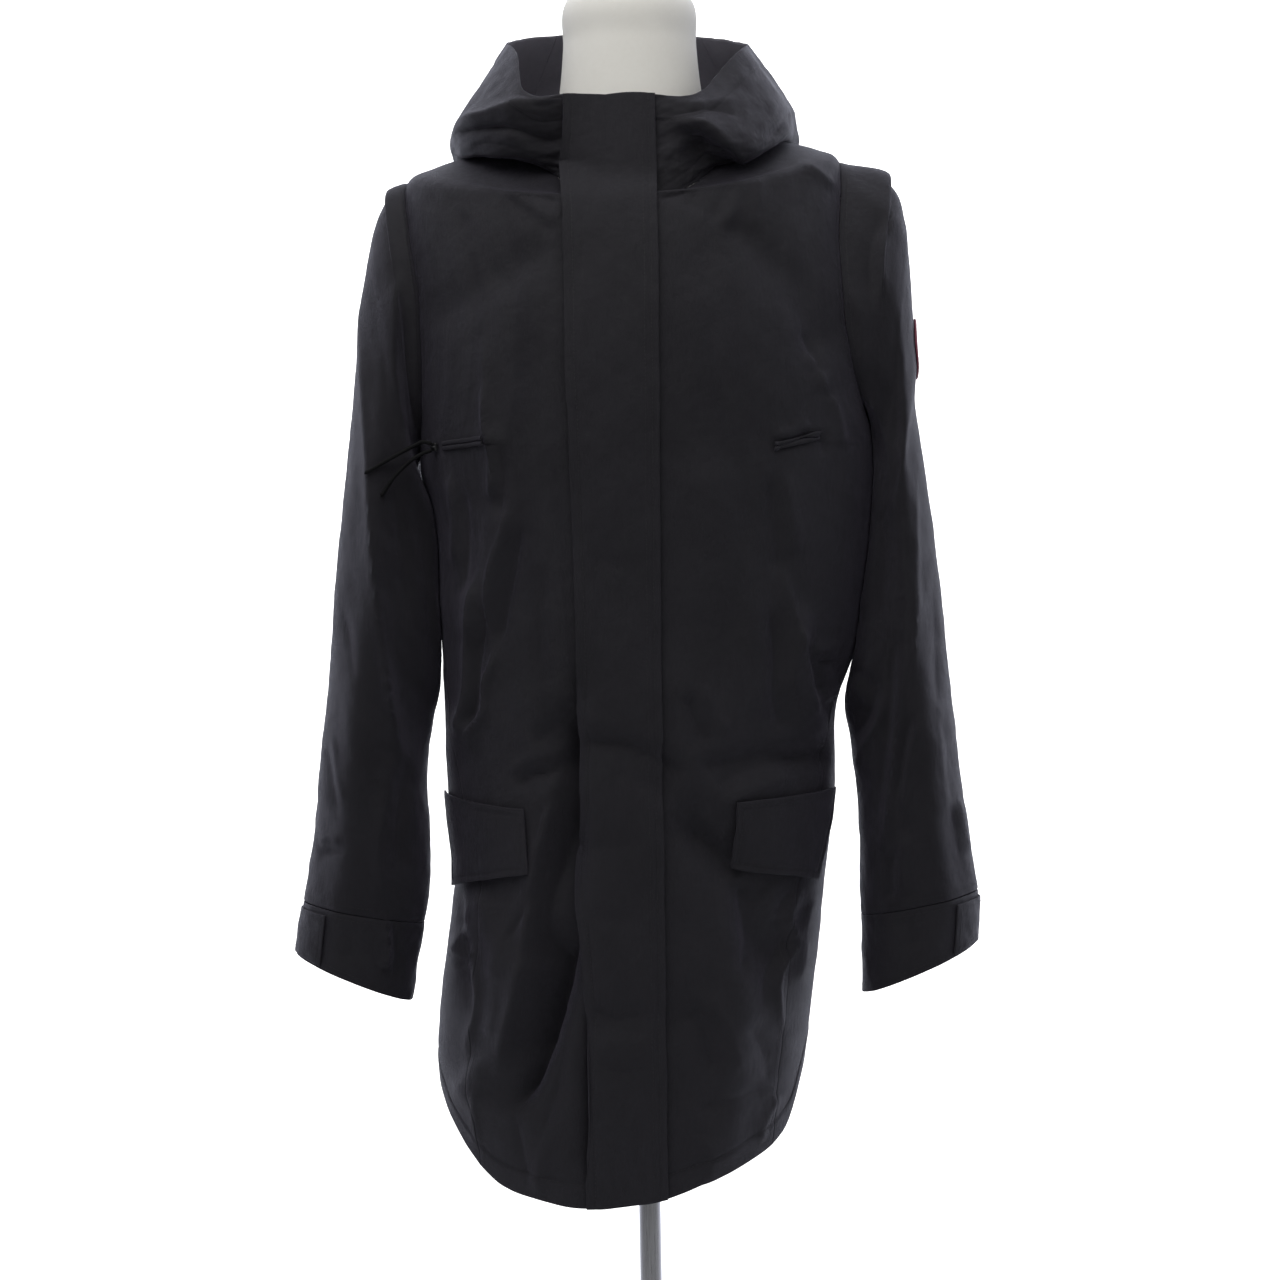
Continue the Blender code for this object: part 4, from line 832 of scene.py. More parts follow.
# %% The weave
def woven_group():
    tree, given, result = new_group(
        "plain weave",
        [
            ("Threads", "NodeSocketVector", None),
            ("Thread Width", "NodeSocketFloat", 0.0005),
            ("Slub", "NodeSocketFloat", 0.5),
        ],
        [("Height", "NodeSocketFloat"), ("On Top", "NodeSocketFloat")],
    )
    split = add_node(tree, "ShaderNodeSeparateXYZ")
    feed(tree, split.inputs[0], given["Threads"])
    across = sum_node(tree, "DIVIDE", split.outputs["X"], given["Thread Width"])
    up = sum_node(tree, "DIVIDE", split.outputs["Y"], given["Thread Width"])
    numbers = sum_node(tree, "ADD", sum_node(tree, "FLOOR", across), sum_node(tree, "FLOOR", up))
    odd_half = sum_node(tree, "FRACT", sum_node(tree, "MULTIPLY", numbers, 0.5))
    on_top = sum_node(tree, "MULTIPLY", odd_half, 2.0)
    round_up, round_across = (
        sum_node(tree, "ABSOLUTE", sum_node(tree, "SINE", sum_node(tree, "MULTIPLY", place, np.pi)))
        for place in (across, up))
    upright = sum_node(tree, "MULTIPLY", sum_node(tree, "SUBTRACT", 1.0, on_top), round_up)
    level = sum_node(tree, "MULTIPLY", on_top, round_across)
    threads = sum_node(tree, "ADD", upright, level)
    scales = ((1400.0, 70.0, 1.0), (70.0, 1400.0, 1.0))
    streaks = [stretched_noise(tree, given["Threads"], scale, 1.0) for scale in scales]
    slub = sum_node(tree, "MULTIPLY", sum_node(tree, "ADD", *streaks), given["Slub"])
    feed(tree, result["Height"], sum_node(tree, "ADD", threads, slub))
    feed(tree, result["On Top"], on_top)
    return tree


def mottled_group():
    """Broad and fine noise for colour, and a crumple of low, sharp wrinkles for the surface."""
    tree, given, result = new_group(
        "mottled",
        [("Place", "NodeSocketVector", None), ("Patch Size", "NodeSocketFloat", 0.08)],
        [("Patches", "NodeSocketFloat"), ("Specks", "NodeSocketFloat"), ("Crumple", "NodeSocketFloat")],
    )
    scale = sum_node(tree, "DIVIDE", 1.0, given["Patch Size"])
    feed(tree, result["Patches"], noise_node(tree, given["Place"], scale, 3.0))
    fine = sum_node(tree, "MULTIPLY", scale, 22.0)
    feed(tree, result["Specks"], noise_node(tree, given["Place"], fine, 2.0))
    wide = noise_node(tree, given["Place"], sum_node(tree, "MULTIPLY", scale, 4.5), 2.0, 0.6)
    ridge = sum_node(tree, "ABSOLUTE", sum_node(tree, "SUBTRACT", wide, 0.5))
    feed(tree, result["Crumple"], sum_node(tree, "SUBTRACT", 1.0, sum_node(tree, "MULTIPLY", ridge, 4.0)))
    return tree


def rubbed_group():
    """Bare places on metal and paint: noise that shows more where the surface is sharply convex."""
    tree, given, result = new_group(
        "rubbed",
        [("Place", "NodeSocketVector", None), ("Wear", "NodeSocketFloat", 0.5)],
        [("Bare", "NodeSocketFloat")],
    )
    grain = noise_node(tree, given["Place"], 90.0, 5.0, 0.65)
    corner = add_node(tree, "ShaderNodeNewGeometry").outputs["Pointiness"]
    sharp = ranged(tree, corner, 0.5, 0.62, 0.0, 1.0)
    both = sum_node(tree, "MULTIPLY", sum_node(tree, "ADD", grain, sharp), given["Wear"])
    feed(tree, result["Bare"], ranged(tree, both, 0.45, 0.75, 0.0, 1.0))
    return tree


WEAVE, MOTTLED, RUBBED = woven_group(), mottled_group(), rubbed_group()
print("node groups", [group.name for group in (WEAVE, MOTTLED, RUBBED)])


# %% Putting a group into a material
def new_material(name, roughness, **sockets):
    """A material with its shader's constant sockets set. Returns it, its tree and its shader."""
    made = bpy.data.materials.new(name)
    made.use_nodes = True
    tree = made.node_tree
    shader = tree.nodes["Principled BSDF"]
    shader.inputs["Roughness"].default_value = roughness
    for key, value in sockets.items():
        shader.inputs[key.replace("_", " ")].default_value = value
    return made, tree, shader


def use_group(tree, group, **inputs):
    node = add_node(tree, "ShaderNodeGroup", node_tree=group)
    for key, source in inputs.items():
        feed(tree, node.inputs[key.replace("_", " ")], source)
    return node.outputs


def raised(tree, shader, height, strength, distance):
    """Feed a height to the shader's normal through a Bump node."""
    bump = add_node(tree, "ShaderNodeBump")
    bump.inputs["Strength"].default_value = strength
    bump.inputs["Distance"].default_value = distance
    feed(tree, bump.inputs["Height"], height)
    feed(tree, shader.inputs["Normal"], bump.outputs["Normal"])


def uneven_roughness(tree, shader, specks, roughness, spread):
    """Roughness that rises and falls by a spread with the specks."""
    source = ranged(tree, specks, 0.3, 0.7, roughness - spread, roughness + spread)
    feed(tree, shader.inputs["Roughness"], source)


def cloth_material(name, dark, light, thread, weave_depth, crumple, roughness, **sockets):
    """Woven cloth: colour by mottling and thread, with weave and crumple in its surface."""
    made, tree, shader = new_material(name, roughness, **sockets)
    place = object_place(tree)
    threads = add_node(tree, "ShaderNodeUVMap", uv_map="threads").outputs["UV"]
    weave = use_group(tree, WEAVE, Threads=threads, Thread_Width=thread)
    mottled = use_group(tree, MOTTLED, Place=place)
    share = sum_node(tree, "ADD", mottled["Patches"], sum_node(tree, "MULTIPLY", mottled["Specks"], 0.5))
    share = sum_node(tree, "ADD", share, sum_node(tree, "MULTIPLY", weave["Height"], 0.25))
    colour = between(tree, ranged(tree, share, 0.55, 1.15, 0.0, 1.0), (*dark, 1), (*light, 1))
    feed(tree, shader.inputs["Base Color"], colour)
    uneven_roughness(tree, shader, mottled["Specks"], roughness, 0.05)
    streaks = stretched_noise(tree, place, (330.0, 330.0, 60.0), 3.0, 0.6)
    height = sum_node(tree, "MULTIPLY", weave["Height"], weave_depth)
    height = sum_node(tree, "ADD", height, sum_node(tree, "MULTIPLY", mottled["Crumple"], crumple))
    height = sum_node(tree, "ADD", height, sum_node(tree, "MULTIPLY", streaks, crumple * 1.2))
    raised(tree, shader, height, 1.0, 0.001)
    return made


# %% The jacket's finishes
SHEEN = {"Sheen_Weight": 0.12, "Sheen_Roughness": 0.35, "Sheen_Tint": (0.82, 0.76, 1.0, 1.0)}
jacket_cloth = cloth_material(
    "jacket cloth", (0.0090, 0.0082, 0.0108), (0.0152, 0.0139, 0.0180), 0.00045, 0.10, 0.32, 0.58,
    Specular_IOR_Level=0.24, **SHEEN)
# The hood's inside is the jacket's own black cloth, painted many times lighter: painted light for the light
# that falls into the hood.
hood_inside_painted_light = cloth_material(
    "hood lining", (0.18, 0.17, 0.20), (0.24, 0.23, 0.26), 0.00045, 0.08, 0.20, 0.70,
    Specular_IOR_Level=0.24)
zip_tape = cloth_material(
    "zip tape", (0.0080, 0.0078, 0.0085), (0.0150, 0.0145, 0.0155), 0.00070, 0.14, 0.02, 0.70,
    Specular_IOR_Level=0.30)
cord_cloth = cloth_material(
    "cord braid", (0.0025, 0.0025, 0.0027), (0.0060, 0.0058, 0.0062), 0.00080, 0.10, 0.0, 0.70,
    Specular_IOR_Level=0.12)
form_cloth = cloth_material(
    "form cloth", (0.91, 0.885, 0.81), (0.96, 0.94, 0.87), 0.00060, 0.08, 0.04, 0.85,
    Specular_IOR_Level=0.20, Sheen_Weight=0.15, Sheen_Roughness=0.5)
print("cloths", [m.name for m in (jacket_cloth, hood_inside_painted_light, zip_tape, cord_cloth, form_cloth)])


def thread_material():
    made, tree, shader = new_material("sewing thread", 0.5, Specular_IOR_Level=0.35)
    grain = noise_node(tree, object_place(tree), 4000.0, 1.0)
    colour = between(tree, grain, (0.008, 0.0075, 0.009, 1), (0.022, 0.021, 0.024, 1))
    feed(tree, shader.inputs["Base Color"], colour)
    return made


def patch_material():
    """Satin stitches side by side, in a plain dusky red."""
    made, tree, shader = new_material("patch cloth", 0.6, Specular_IOR_Level=0.35, Sheen_Weight=0.3)
    threads = add_node(tree, "ShaderNodeUVMap", uv_map="threads").outputs["UV"]
    weave = use_group(tree, WEAVE, Threads=threads, Thread_Width=0.0004, Slub=1.0)
    place = object_place(tree)
    specks = use_group(tree, MOTTLED, Place=place, Patch_Size=0.02)["Specks"]
    colour = between(tree, specks, (0.20, 0.030, 0.060, 1), (0.38, 0.075, 0.120, 1))
    feed(tree, shader.inputs["Base Color"], colour)
    raised(tree, shader, weave["Height"], 0.6, 0.0004)
    return made


def painted_material(name, dark, light, bare, wear, roughness, **sockets):
    """Paint or enamel over metal, rubbed a little along its edges."""
    made, tree, shader = new_material(name, roughness, **sockets)
    place = object_place(tree)
    mottled = use_group(tree, MOTTLED, Place=place, Patch_Size=0.05)
    worn = use_group(tree, RUBBED, Place=place, Wear=wear)["Bare"]
    paint = between(tree, mottled["Patches"], (*dark, 1), (*light, 1))
    feed(tree, shader.inputs["Base Color"], between(tree, worn, paint, (*bare, 1)))
    feed(tree, shader.inputs["Metallic"], worn)
    uneven_roughness(tree, shader, mottled["Specks"], roughness, 0.08)
    raised(tree, shader, mottled["Specks"], 0.15, 0.0004)
    return made


def brushed_material(name, colour):
    """Steel drawn through a die: fine scratches along Z, as noise stretched a hundredfold."""
    made, tree, shader = new_material(name, 0.32, Metallic=1.0)
    scratch = stretched_noise(tree, object_place(tree), (2600.0, 2600.0, 26.0), 3.0)
    dull = tuple(c * 0.72 for c in colour)
    feed(tree, shader.inputs["Base Color"], between(tree, scratch, (*dull, 1), (*colour, 1)))
    feed(tree, shader.inputs["Roughness"], ranged(tree, scratch, 0.3, 0.7, 0.24, 0.42))
    raised(tree, shader, scratch, 0.12, 0.0002)
    return made


thread, patch_cloth = thread_material(), patch_material()
enamel = painted_material(
    "black enamel", (0.010, 0.010, 0.011), (0.018, 0.018, 0.019), (0.35, 0.34, 0.33), 0.42, 0.35)
pole_steel = brushed_material("pole steel", (0.46, 0.46, 0.47))
base_paint = painted_material(
    "base paint", (0.075, 0.075, 0.078), (0.105, 0.105, 0.108), (0.40, 0.39, 0.38), 0.40, 0.55)
print("other finishes", [m.name for m in (thread, patch_cloth, enamel, pole_steel, base_paint)])


# %% [markdown]
# ## Fastening pieces to the frame
#
# Every piece rides on the one rigid body and hides the solids of the rigid model that it stands for. A
# cloth piece also says how large its flat cut was: the cloth doesn't stretch, so its area is the shell's
# own, and its width and length are its longest row and column.

# %% Riding, replacing and declaring
cuts = {}


def fasten(piece, slot, *nodes):
    """Ride on the frame and stand for the named solids, which are hidden. slot is not used."""
    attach(piece, "root")
    if nodes:
        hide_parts(*nodes)
    return piece


def declare_cut(piece, points, closed=False):
    """Declare a cloth piece with the flat size that its own grid has."""
    if closed:
        points = np.concatenate([points, points[:, :1]], axis=1)
    width, length = lengths(points, 1)[:, -1].max(), lengths(points, 0)[-1].max()
    a, b = np.diff(points, axis=1)[:-1], np.diff(points, axis=0)[:, :-1]
    area = np.linalg.norm(np.cross(a, b), axis=-1).sum()
    cuts[piece.name] = (round(width, 3), round(length, 3), round(area, 4))


def dress(piece, slot, node, points, closed=False):
    """Fasten a cloth piece, declare its cut and print how fine its grid is."""
    fasten(piece, slot, node)
    declare_cut(piece, points, closed)
    print(piece.name, points.shape[:2])


# %% [markdown]
# ## Fronts and back
#
# The two fronts meet under the storm flap. Their outer edges follow the side seam, the armhole and the
# shoulder. The back goes round from side seam to side seam.

# %% Where the seams run
ARMHOLE_ALONG, ARMHOLE_HALF = 1.310, 0.120
ARMHOLE_FRONT = {-1: 22, 1: 29}  # how far it reaches to the front, as an angle, by side
ARMHOLE_BACK = {-1: 23, 1: 23}
ARMHOLE_CLEAR, ARMHOLE_CLEAR_ANGLE = 0.0004, 0.12  # air round a sleeve's end: along, and as an angle


def widths_at(level):
    """The body's half widths at a height: to the wearer's right, and to the left."""
    return read_table(BODY, level)[1:3]


def angle_at(x, widths):
    """The angle from the front at which a ring with these half widths has this x."""
    half = np.where(np.asarray(x) < 0, *widths)
    return np.degrees(np.arcsin(signed_power(np.clip(x / half, -0.999, 0.999), 1 / ROUNDNESS)))


def armhole_edge(along, side):
    """The angles of the armhole's front and back edge on the rings that it cuts."""
    high = np.clip((along - ARMHOLE_ALONG) / (ARMHOLE_HALF + ARMHOLE_CLEAR), -1, 1)
    open_share = np.sqrt(1 - high**2)
    clear = ARMHOLE_CLEAR_ANGLE * (np.abs(high) < 1)
    return 90 - ARMHOLE_FRONT[side] * open_share - clear, 90 + ARMHOLE_BACK[side] * open_share + clear


def front_edge(along, side):
    """The outer edge of a front: the side seam, then the armhole, then the shoulder seam."""
    seam = 90 - line_table(SIDE_SEAM, along)
    return np.minimum(seam, armhole_edge(along, side)[0]) - SEAM_ANGLE


def back_edge(along, side):
    seam = 90 - line_table(SIDE_SEAM, along)
    arm = armhole_edge(along, side)[1]
    return np.where(arm > 90, arm, seam) + SEAM_ANGLE


# %% Rows of the body's grid
def body_rows(skirt=96, waist=108, arm=84, shoulder=30):
    """The values of along for the rows: close at the armhole's ends, where the edge turns fast."""
    half = ARMHOLE_HALF + ARMHOLE_CLEAR
    armpit, tip = ARMHOLE_ALONG - half, ARMHOLE_ALONG + half
    low = np.linspace(0, 1, skirt) * (HIP_ALONG - HEM_ALONG) + HEM_ALONG
    low = np.concatenate([[HEM_ALONG, HEM_ALONG + 0.0006], low[1:-1]])
    mid = np.linspace(HIP_ALONG, armpit, waist)[:-1]
    hole = ARMHOLE_ALONG - half * np.cos(np.linspace(0, np.pi, arm))
    high = np.linspace(tip, NECK_ALONG, shoulder)[1:-1]
    return np.concatenate([low, mid, hole, high, [NECK_ALONG - 0.0006, NECK_ALONG]])


rows = body_rows()
print("rows of the body", len(rows))

# %% [markdown]
# The storm flap, the zip and the two fronts share their lines, so that the flap lies over the opening
# all the way up.

# %% Lines that the fronts, the zip and the flap share
FLAP_EDGES = (
    # height, free edge, sewn edge
    (0.55, -0.0525, 0.015), (0.89, -0.052, 0.017), (1.06, -0.053, 0.018), (1.227, -0.057, 0.0195),
    (1.4, -0.059, 0.021), (1.5, -0.059, 0.021),
)
FRONTS_MEET = -0.018  # where the two fronts meet, under the flap
ZIP_HALF = 0.013
ZIP_THICK = 0.0012
FLAP_CLEAR = 0.0007  # the air between the zip and the flap

# %% The two fronts
HEM_BAND = 0.020  # height of the turned hem
HEM_EXTRA = 0.0007


def hem_relief(points, seam_dip=0.0005):
    """The turned hem is one layer thicker up to its stitches, where the thread pulls a groove."""
    up = lengths(points, 0)
    band = HEM_EXTRA * np.clip((HEM_BAND - up) / 0.0015, 0, 1)
    return band - seam_dip * bell(up, HEM_BAND, 0.0016)


fronts = {}
for side, name in ((-1, "front_right"), (1, "front_left")):
    level = level_at(rows, 0)
    meet = angle_at(FRONTS_MEET + side * SEAM, widths_at(level))
    edge = side * front_edge(rows, side)
    share = with_edges(84)[None, :]
    angle = meet[:, None] + (edge - meet)[:, None] * share
    if side < 0:
        angle = angle[:, ::-1]
    along = rows[:, None] + 0 * angle
    points = body(angle, along)
    piece = shell(name + "_cloth", points, jacket_cloth, relief=hem_relief(points))
    dress(piece, "jacket_cloth", name, points)
    fronts[name] = (angle, along, points)

# %% The back
start, end = back_edge(rows, 1)[:, None], 360 - back_edge(rows, -1)[:, None]
angle = start + (end - start) * with_edges(98)[None, :]
points = body(angle, rows[:, None] + 0 * angle)
piece = shell("back_cloth", points, jacket_cloth, relief=hem_relief(points))
dress(piece, "jacket_cloth", "back", points)

# %% [markdown]
# ## The hood
#
# The hood is part of the jacket: its two side panels run up from the neck seam at the front opening and
# stand as a collar there, and further back they roll outwards and lie down. At each angle round the neck
# its section is a smooth curve through six points. A centre panel runs over the top of the head, which
# hangs down behind.

# %% Sections of the hood
NECK_RING = (1.4664, 0.0894, 0.0979, 0.0775, 0.0702, 0.010)

# Hood, by the angle round the neck from the front opening (-12) over the wearer's left (90) and the back
# (180) to the right (270) and the opening again (348). Its sections start at the neck seam. Each further
# point is a distance out from the seam and a height.
HOOD = (
    # angle; then, in millimetres, low, z, roll, z, shoulder, z, crease, z, edge, z
    (-12, -1.5, 1415, -3, 1433, -5, 1451, -7, 1469, -9, 1487),
    (0, -1.5, 1415, -3, 1433, -5, 1451, -7, 1469, -9, 1488.5),
    (12, -1.2, 1416, -2, 1434, -3, 1452, -4, 1469, -6, 1487),
    (22, 1, 1420, 2, 1437, 4, 1454, 4, 1470, -1, 1485),
    (32, 3, 1425, 5, 1438, 16, 1450, 15, 1467, 2, 1486),
    (42, 6, 1430, 24, 1436, 29, 1446, 20, 1469, 1, 1494),
    (52, 14, 1432, 34, 1434, 38, 1446, 26, 1474, -1, 1505),
    (65, 20, 1442, 41, 1444, 44, 1456, 32, 1486, 3, 1522),
    (78, 30, 1455, 48, 1458, 50, 1472, 38, 1497, 10, 1537),
    (90, 36, 1462.5, 51, 1466, 50.5, 1486, 41, 1503, 13, 1544),
    (120, 46, 1460, 70, 1450, 78, 1478, 62, 1516, 24, 1558),
    (150, 66, 1406, 94, 1396, 104, 1450, 82, 1520, 34, 1573),
    (180, 62, 1360, 100, 1362, 112, 1436, 90, 1520, 40, 1580),
    (210, 66, 1404, 96, 1394, 106, 1448, 86, 1520, 36, 1577),
    (240, 50, 1450, 80, 1446, 86, 1474, 68, 1514, 26, 1564),
    (270, 42, 1456, 62, 1453, 68, 1467, 62, 1483, 17, 1549),
    (282, 36, 1449, 56, 1448, 63, 1464, 59, 1481, 14, 1541),
    (295, 30, 1442, 47, 1444, 55, 1461, 52, 1479, 16, 1527),
    (305, 24, 1436, 40, 1442, 47, 1459, 46, 1478, 23, 1508),
    (313, 13, 1430, 29, 1440, 38, 1458, 40, 1475, 29, 1490),
    (319, 5, 1429, 12, 1441, 19, 1456, 24, 1471, 24, 1485),
    (326, 2, 1428.5, 4, 1443, 6, 1458, 7, 1473, 7, 1488.5),
    (336, 0, 1424, 0, 1440, -1, 1456, -2, 1472, -3, 1488),
    (348, -1.5, 1415, -3, 1433, -5, 1451, -7, 1469, -9, 1487),
)
HOOD_POINTS = 6
HOOD_FIRST_ANGLE = -12
HOOD_CLEAR = 0.0045  # the least distance of the hood's middle surface from the body's
HOOD_CLEAR_AT_SEAM = 0.0022
HOOD_CLEAR_FROM = 0.08  # the share of a section over which the distance grows
HOOD_STEPS = 6
HOOD_SEAMS = (150, 210)  # where the centre panel meets the side panels
HOOD_SEAM_ANGLE = 0.03
HOOD_DEGREE, HOOD_REACH = 0.0016, 0.20  # metres that a degree and the whole section stand for in creases
HOOD_CREASES = (
    # height, width, roundness in millimetres, then angle and share of its points
    # the wearer's right: the ridge from the face edge, the folds below it
    (5.4, 8, 1.4, (329, 1, 321, 0.98, 316, 0.9, 310, 0.82, 300, 0.77, 288, 0.77, 274, 0.78)),
    (-5.6, 8, 2.6, (280, 0.63, 302, 0.63, 312, 0.6, 319, 0.53, 326, 0.38)),
    (2.6, 7, 2.6, (266, 0.37, 284, 0.4, 296, 0.39, 304, 0.27)),
    (-1.4, 5, 2, (290, 0.52, 304, 0.47, 314, 0.38, 322, 0.23)),
    (-2.2, 5, 2, (316, 0.24, 321, 0.14, 327, 0.06)),
    # the wearer's left: the hollow behind the standing front, the ridge below the panel
    (5.6, 8, 1.8, (24, 0.78, 31, 0.73, 37, 0.66, 45, 0.45, 54, 0.28, 63, 0.17)),
    (-8.8, 7, 3, (30, 0.68, 32, 0.5, 36, 0.32, 41, 0.14)),
    (-4, 6, 2, (37, 0.57, 45, 0.35, 54, 0.18)),
    (-2.4, 6, 2, (18, 0.72, 31, 0.85, 42, 0.83, 54, 0.73)),
    (2.2, 6, 3, (27, 0.93, 40, 0.9, 56, 0.85)),
    (1.8, 6, 3, (8, 0.2, 16, 0.36, 21, 0.5)),
    (-1.8, 7, 3, (60, 0.55, 74, 0.62, 86, 0.6)),
    # the back, much the same
    (1.8, 7, 3, (100, 0.45, 118, 0.52, 136, 0.46)),
    (-2, 7, 3, (104, 0.62, 124, 0.66, 142, 0.6)),
    (2.2, 7, 3, (160, 0.3, 178, 0.36, 196, 0.28)),
    (-2.2, 8, 3, (156, 0.48, 180, 0.52, 204, 0.46)),
    (1.8, 7, 3, (218, 0.5, 236, 0.46, 254, 0.52)),
    (-2, 7, 3, (222, 0.62, 242, 0.58, 258, 0.64)),
)


def body_samples(surface, angles, alongs):
    """Points of the body and its normals there, for keeping other cloth off it."""
    points = surface(*np.meshgrid(angles, alongs))
    return points.reshape(-1, 3), grid_normals(points).reshape(-1, 3)


BODY_SAMPLES = body_samples(body_plain, np.arange(0, 364, 4.0), np.linspace(1.26, NECK_ALONG, 30))
side_angles, side_rings = np.arange(-50, 51, 2.0), np.linspace(0.96, 1.25, 70)
SIDE_SAMPLES = {side: body_samples(body, side * 90 + side_angles, side_rings) for side in (-1, 1)}


def kept_off_body(points, clear, body_at=BODY_SAMPLES):
    """Points that would lie too near the body, moved out along its normal until they are clear of it."""
    samples, normals = body_at
    flat = points.reshape(-1, 3)
    nearest = np.concatenate([
        ((part[:, None] - samples[None]) ** 2).sum(axis=-1).argmin(axis=1)
        for part in np.array_split(flat, len(flat) // 400 + 1)
    ])
    away = ((flat - samples[nearest]) * normals[nearest]).sum(axis=1)
    short = np.clip(clear.ravel() - away, 0, None)
    return (flat + normals[nearest] * short[:, None]).reshape(points.shape)


def neck_ring(angle):
    """The x, y and z of the seam between body and hood: a ring that dips at the front."""
    height, half, front, back, dip, rise = NECK_RING
    across, ahead = np.sin(np.radians(angle)), np.cos(np.radians(angle))
    x = half * signed_power(across, ROUNDNESS)
    y = np.where(ahead > 0, -front, -back) * signed_power(ahead, ROUNDNESS)
    return x, y, height - dip * np.clip(ahead, 0, 1) ** 1.5 + rise * np.clip(-ahead, 0, 1)


def hood(angle, share):
    """A point of the hood: a smooth curve through the six points of its section at this angle."""
    angle, share = np.broadcast_arrays(np.asarray(angle, float), np.asarray(share, float))
    section = read_table(HOOD, (angle - HOOD_FIRST_ANGLE) % 360 + HOOD_FIRST_ANGLE) / 1000
    x, y, seam = neck_ring(angle)
    place = share * (HOOD_POINTS - 1)
    out = smooth_through([0 * seam, *section[0::2]], place)
    z = smooth_through([seam, *section[1::2]], place)
    across, ahead = np.sin(np.radians(angle)), np.cos(np.radians(angle))
    clear = HOOD_CLEAR_AT_SEAM + (HOOD_CLEAR - HOOD_CLEAR_AT_SEAM) * np.clip(share / HOOD_CLEAR_FROM, 0, 1)
    return kept_off_body(np.stack([x + out * across, y - out * ahead, z], axis=-1), clear)


def hood_angle_at(x, share):
    """The angles at which the front of the hood has this x, found by stepping towards it."""
    angle = angle_at(x, NECK_RING[1:2] * 2)
    for _ in range(HOOD_STEPS):
        now = hood(angle, share)[..., 0]
        angle = angle + (x - now) / (hood(angle + 1.0, share)[..., 0] - now)
    return angle


def neck_edge(angle):
    """The line on which the hood's lower edge sits: the body's top edge, a little higher."""
    return body_plain(angle, NECK_ALONG) + (0, 0, NECK_SEAM)


# %% The hood's three panels
NECK_SEAM = 0.0007
scaled = [
    (*(np.array(row) / 1000), (np.reshape(line, (-1, 2)) * (HOOD_DEGREE, HOOD_REACH)).ravel())
    for *row, line in HOOD_CREASES
]
HOOD_HEM = 0.022
share = with_edges(94, near=(0.002, 0.006))[:, None]
hood_meets = {side: hood_angle_at(FRONTS_MEET + side * SEAM + 0 * share, share) for side in (-1, 1)}
for name, first, last, columns in (
    ("hood_side_left", hood_meets[1], HOOD_SEAMS[0] - HOOD_SEAM_ANGLE, 160),
    ("hood_centre", HOOD_SEAMS[0] + HOOD_SEAM_ANGLE, HOOD_SEAMS[1] - HOOD_SEAM_ANGLE, 84),
    ("hood_side_right", HOOD_SEAMS[1] + HOOD_SEAM_ANGLE, 360 + hood_meets[-1], 150),
):
    angle = first + (last - first) * with_edges(columns, near=(0.003, 0.008))[None, :]
    angle = angle + 0 * share
    points = hood(angle, share)
    creased = crease_height(scaled, angle * HOOD_DEGREE + 0 * share, share * HOOD_REACH + 0 * angle)
    creased = creased + ripple(angle * HOOD_DEGREE * 1.4, share * HOOD_REACH * 1.4) * 1.2
    points = points + grid_normals(points) * (creased * np.clip(share / 0.1, 0, 1))[..., None]
    points = points + (neck_edge(angle[0]) - points[0]) * np.clip(1 - share / 0.14, 0, 1)[..., None] ** 1.5
    to_edge = lengths(points, 0)[-1:] - lengths(points, 0)
    relief = 0.0006 * np.clip((HOOD_HEM - to_edge) / 0.0015, 0, 1)
    relief = relief - 0.0004 * bell(to_edge, HOOD_HEM, 0.0015)
    # The inner faces take the hood's inside finish: the black cloth painted lighter, as painted light.
    piece = shell(name + "_cloth", points, jacket_cloth, relief=relief, lining=hood_inside_painted_light)
    dress(piece, "jacket_cloth", name, points)

# %% [markdown]
# ## Sleeves and cuffs
#
# A sleeve is a tube of slanting rings. Its first ring is the armhole's own line, so it meets the body
# all round, and lower rings hang forward. Each ring's highest and lowest point lie on the sleeve's
# outer and inner edge, as they are seen from the front.

# %% Measured rings of the sleeves
SLEEVE = (
    # ring, outer height, inner height, front, back, part of the armhole's own shape
    (0, 1.434, 1.19, -0.053, 0.052, 1), (1, 1.431, 1.182, -0.058, 0.056, 0.8),
    (2, 1.416, 1.17, -0.062, 0.059, 0.5), (3, 1.388, 1.15, -0.065, 0.061, 0.22),
    (4, 1.347, 1.128, -0.067, 0.062, 0.06), (5, 1.3, 1.103, -0.068, 0.061, 0),
    (6, 1.25, 1.075, -0.069, 0.059, 0), (7, 1.198, 1.045, -0.07, 0.056, 0),
    (8, 1.145, 1.012, -0.072, 0.053, 0), (9, 1.09, 0.975, -0.075, 0.051, 0),
    (10, 1.035, 0.937, -0.079, 0.049, 0), (11, 0.98, 0.9, -0.083, 0.045, 0),
    (12, 0.925, 0.86, -0.085, 0.038, 0), (13, 0.87, 0.82, -0.085, 0.03, 0),
    (14, 0.803, 0.783, -0.085, 0.022, 0), (15, 0.78, 0.75, -0.084, 0.018, 0),
    (16, 0.758, 0.716, -0.083, 0.014, 0),
)
CUFF_RING, LAST_RING = 14, 16
CUFF_SEAM = 0.02  # the air above a cuff, in rings
SLEEVE_START = 0.0005  # how far a sleeve's first ring stands out from the armhole
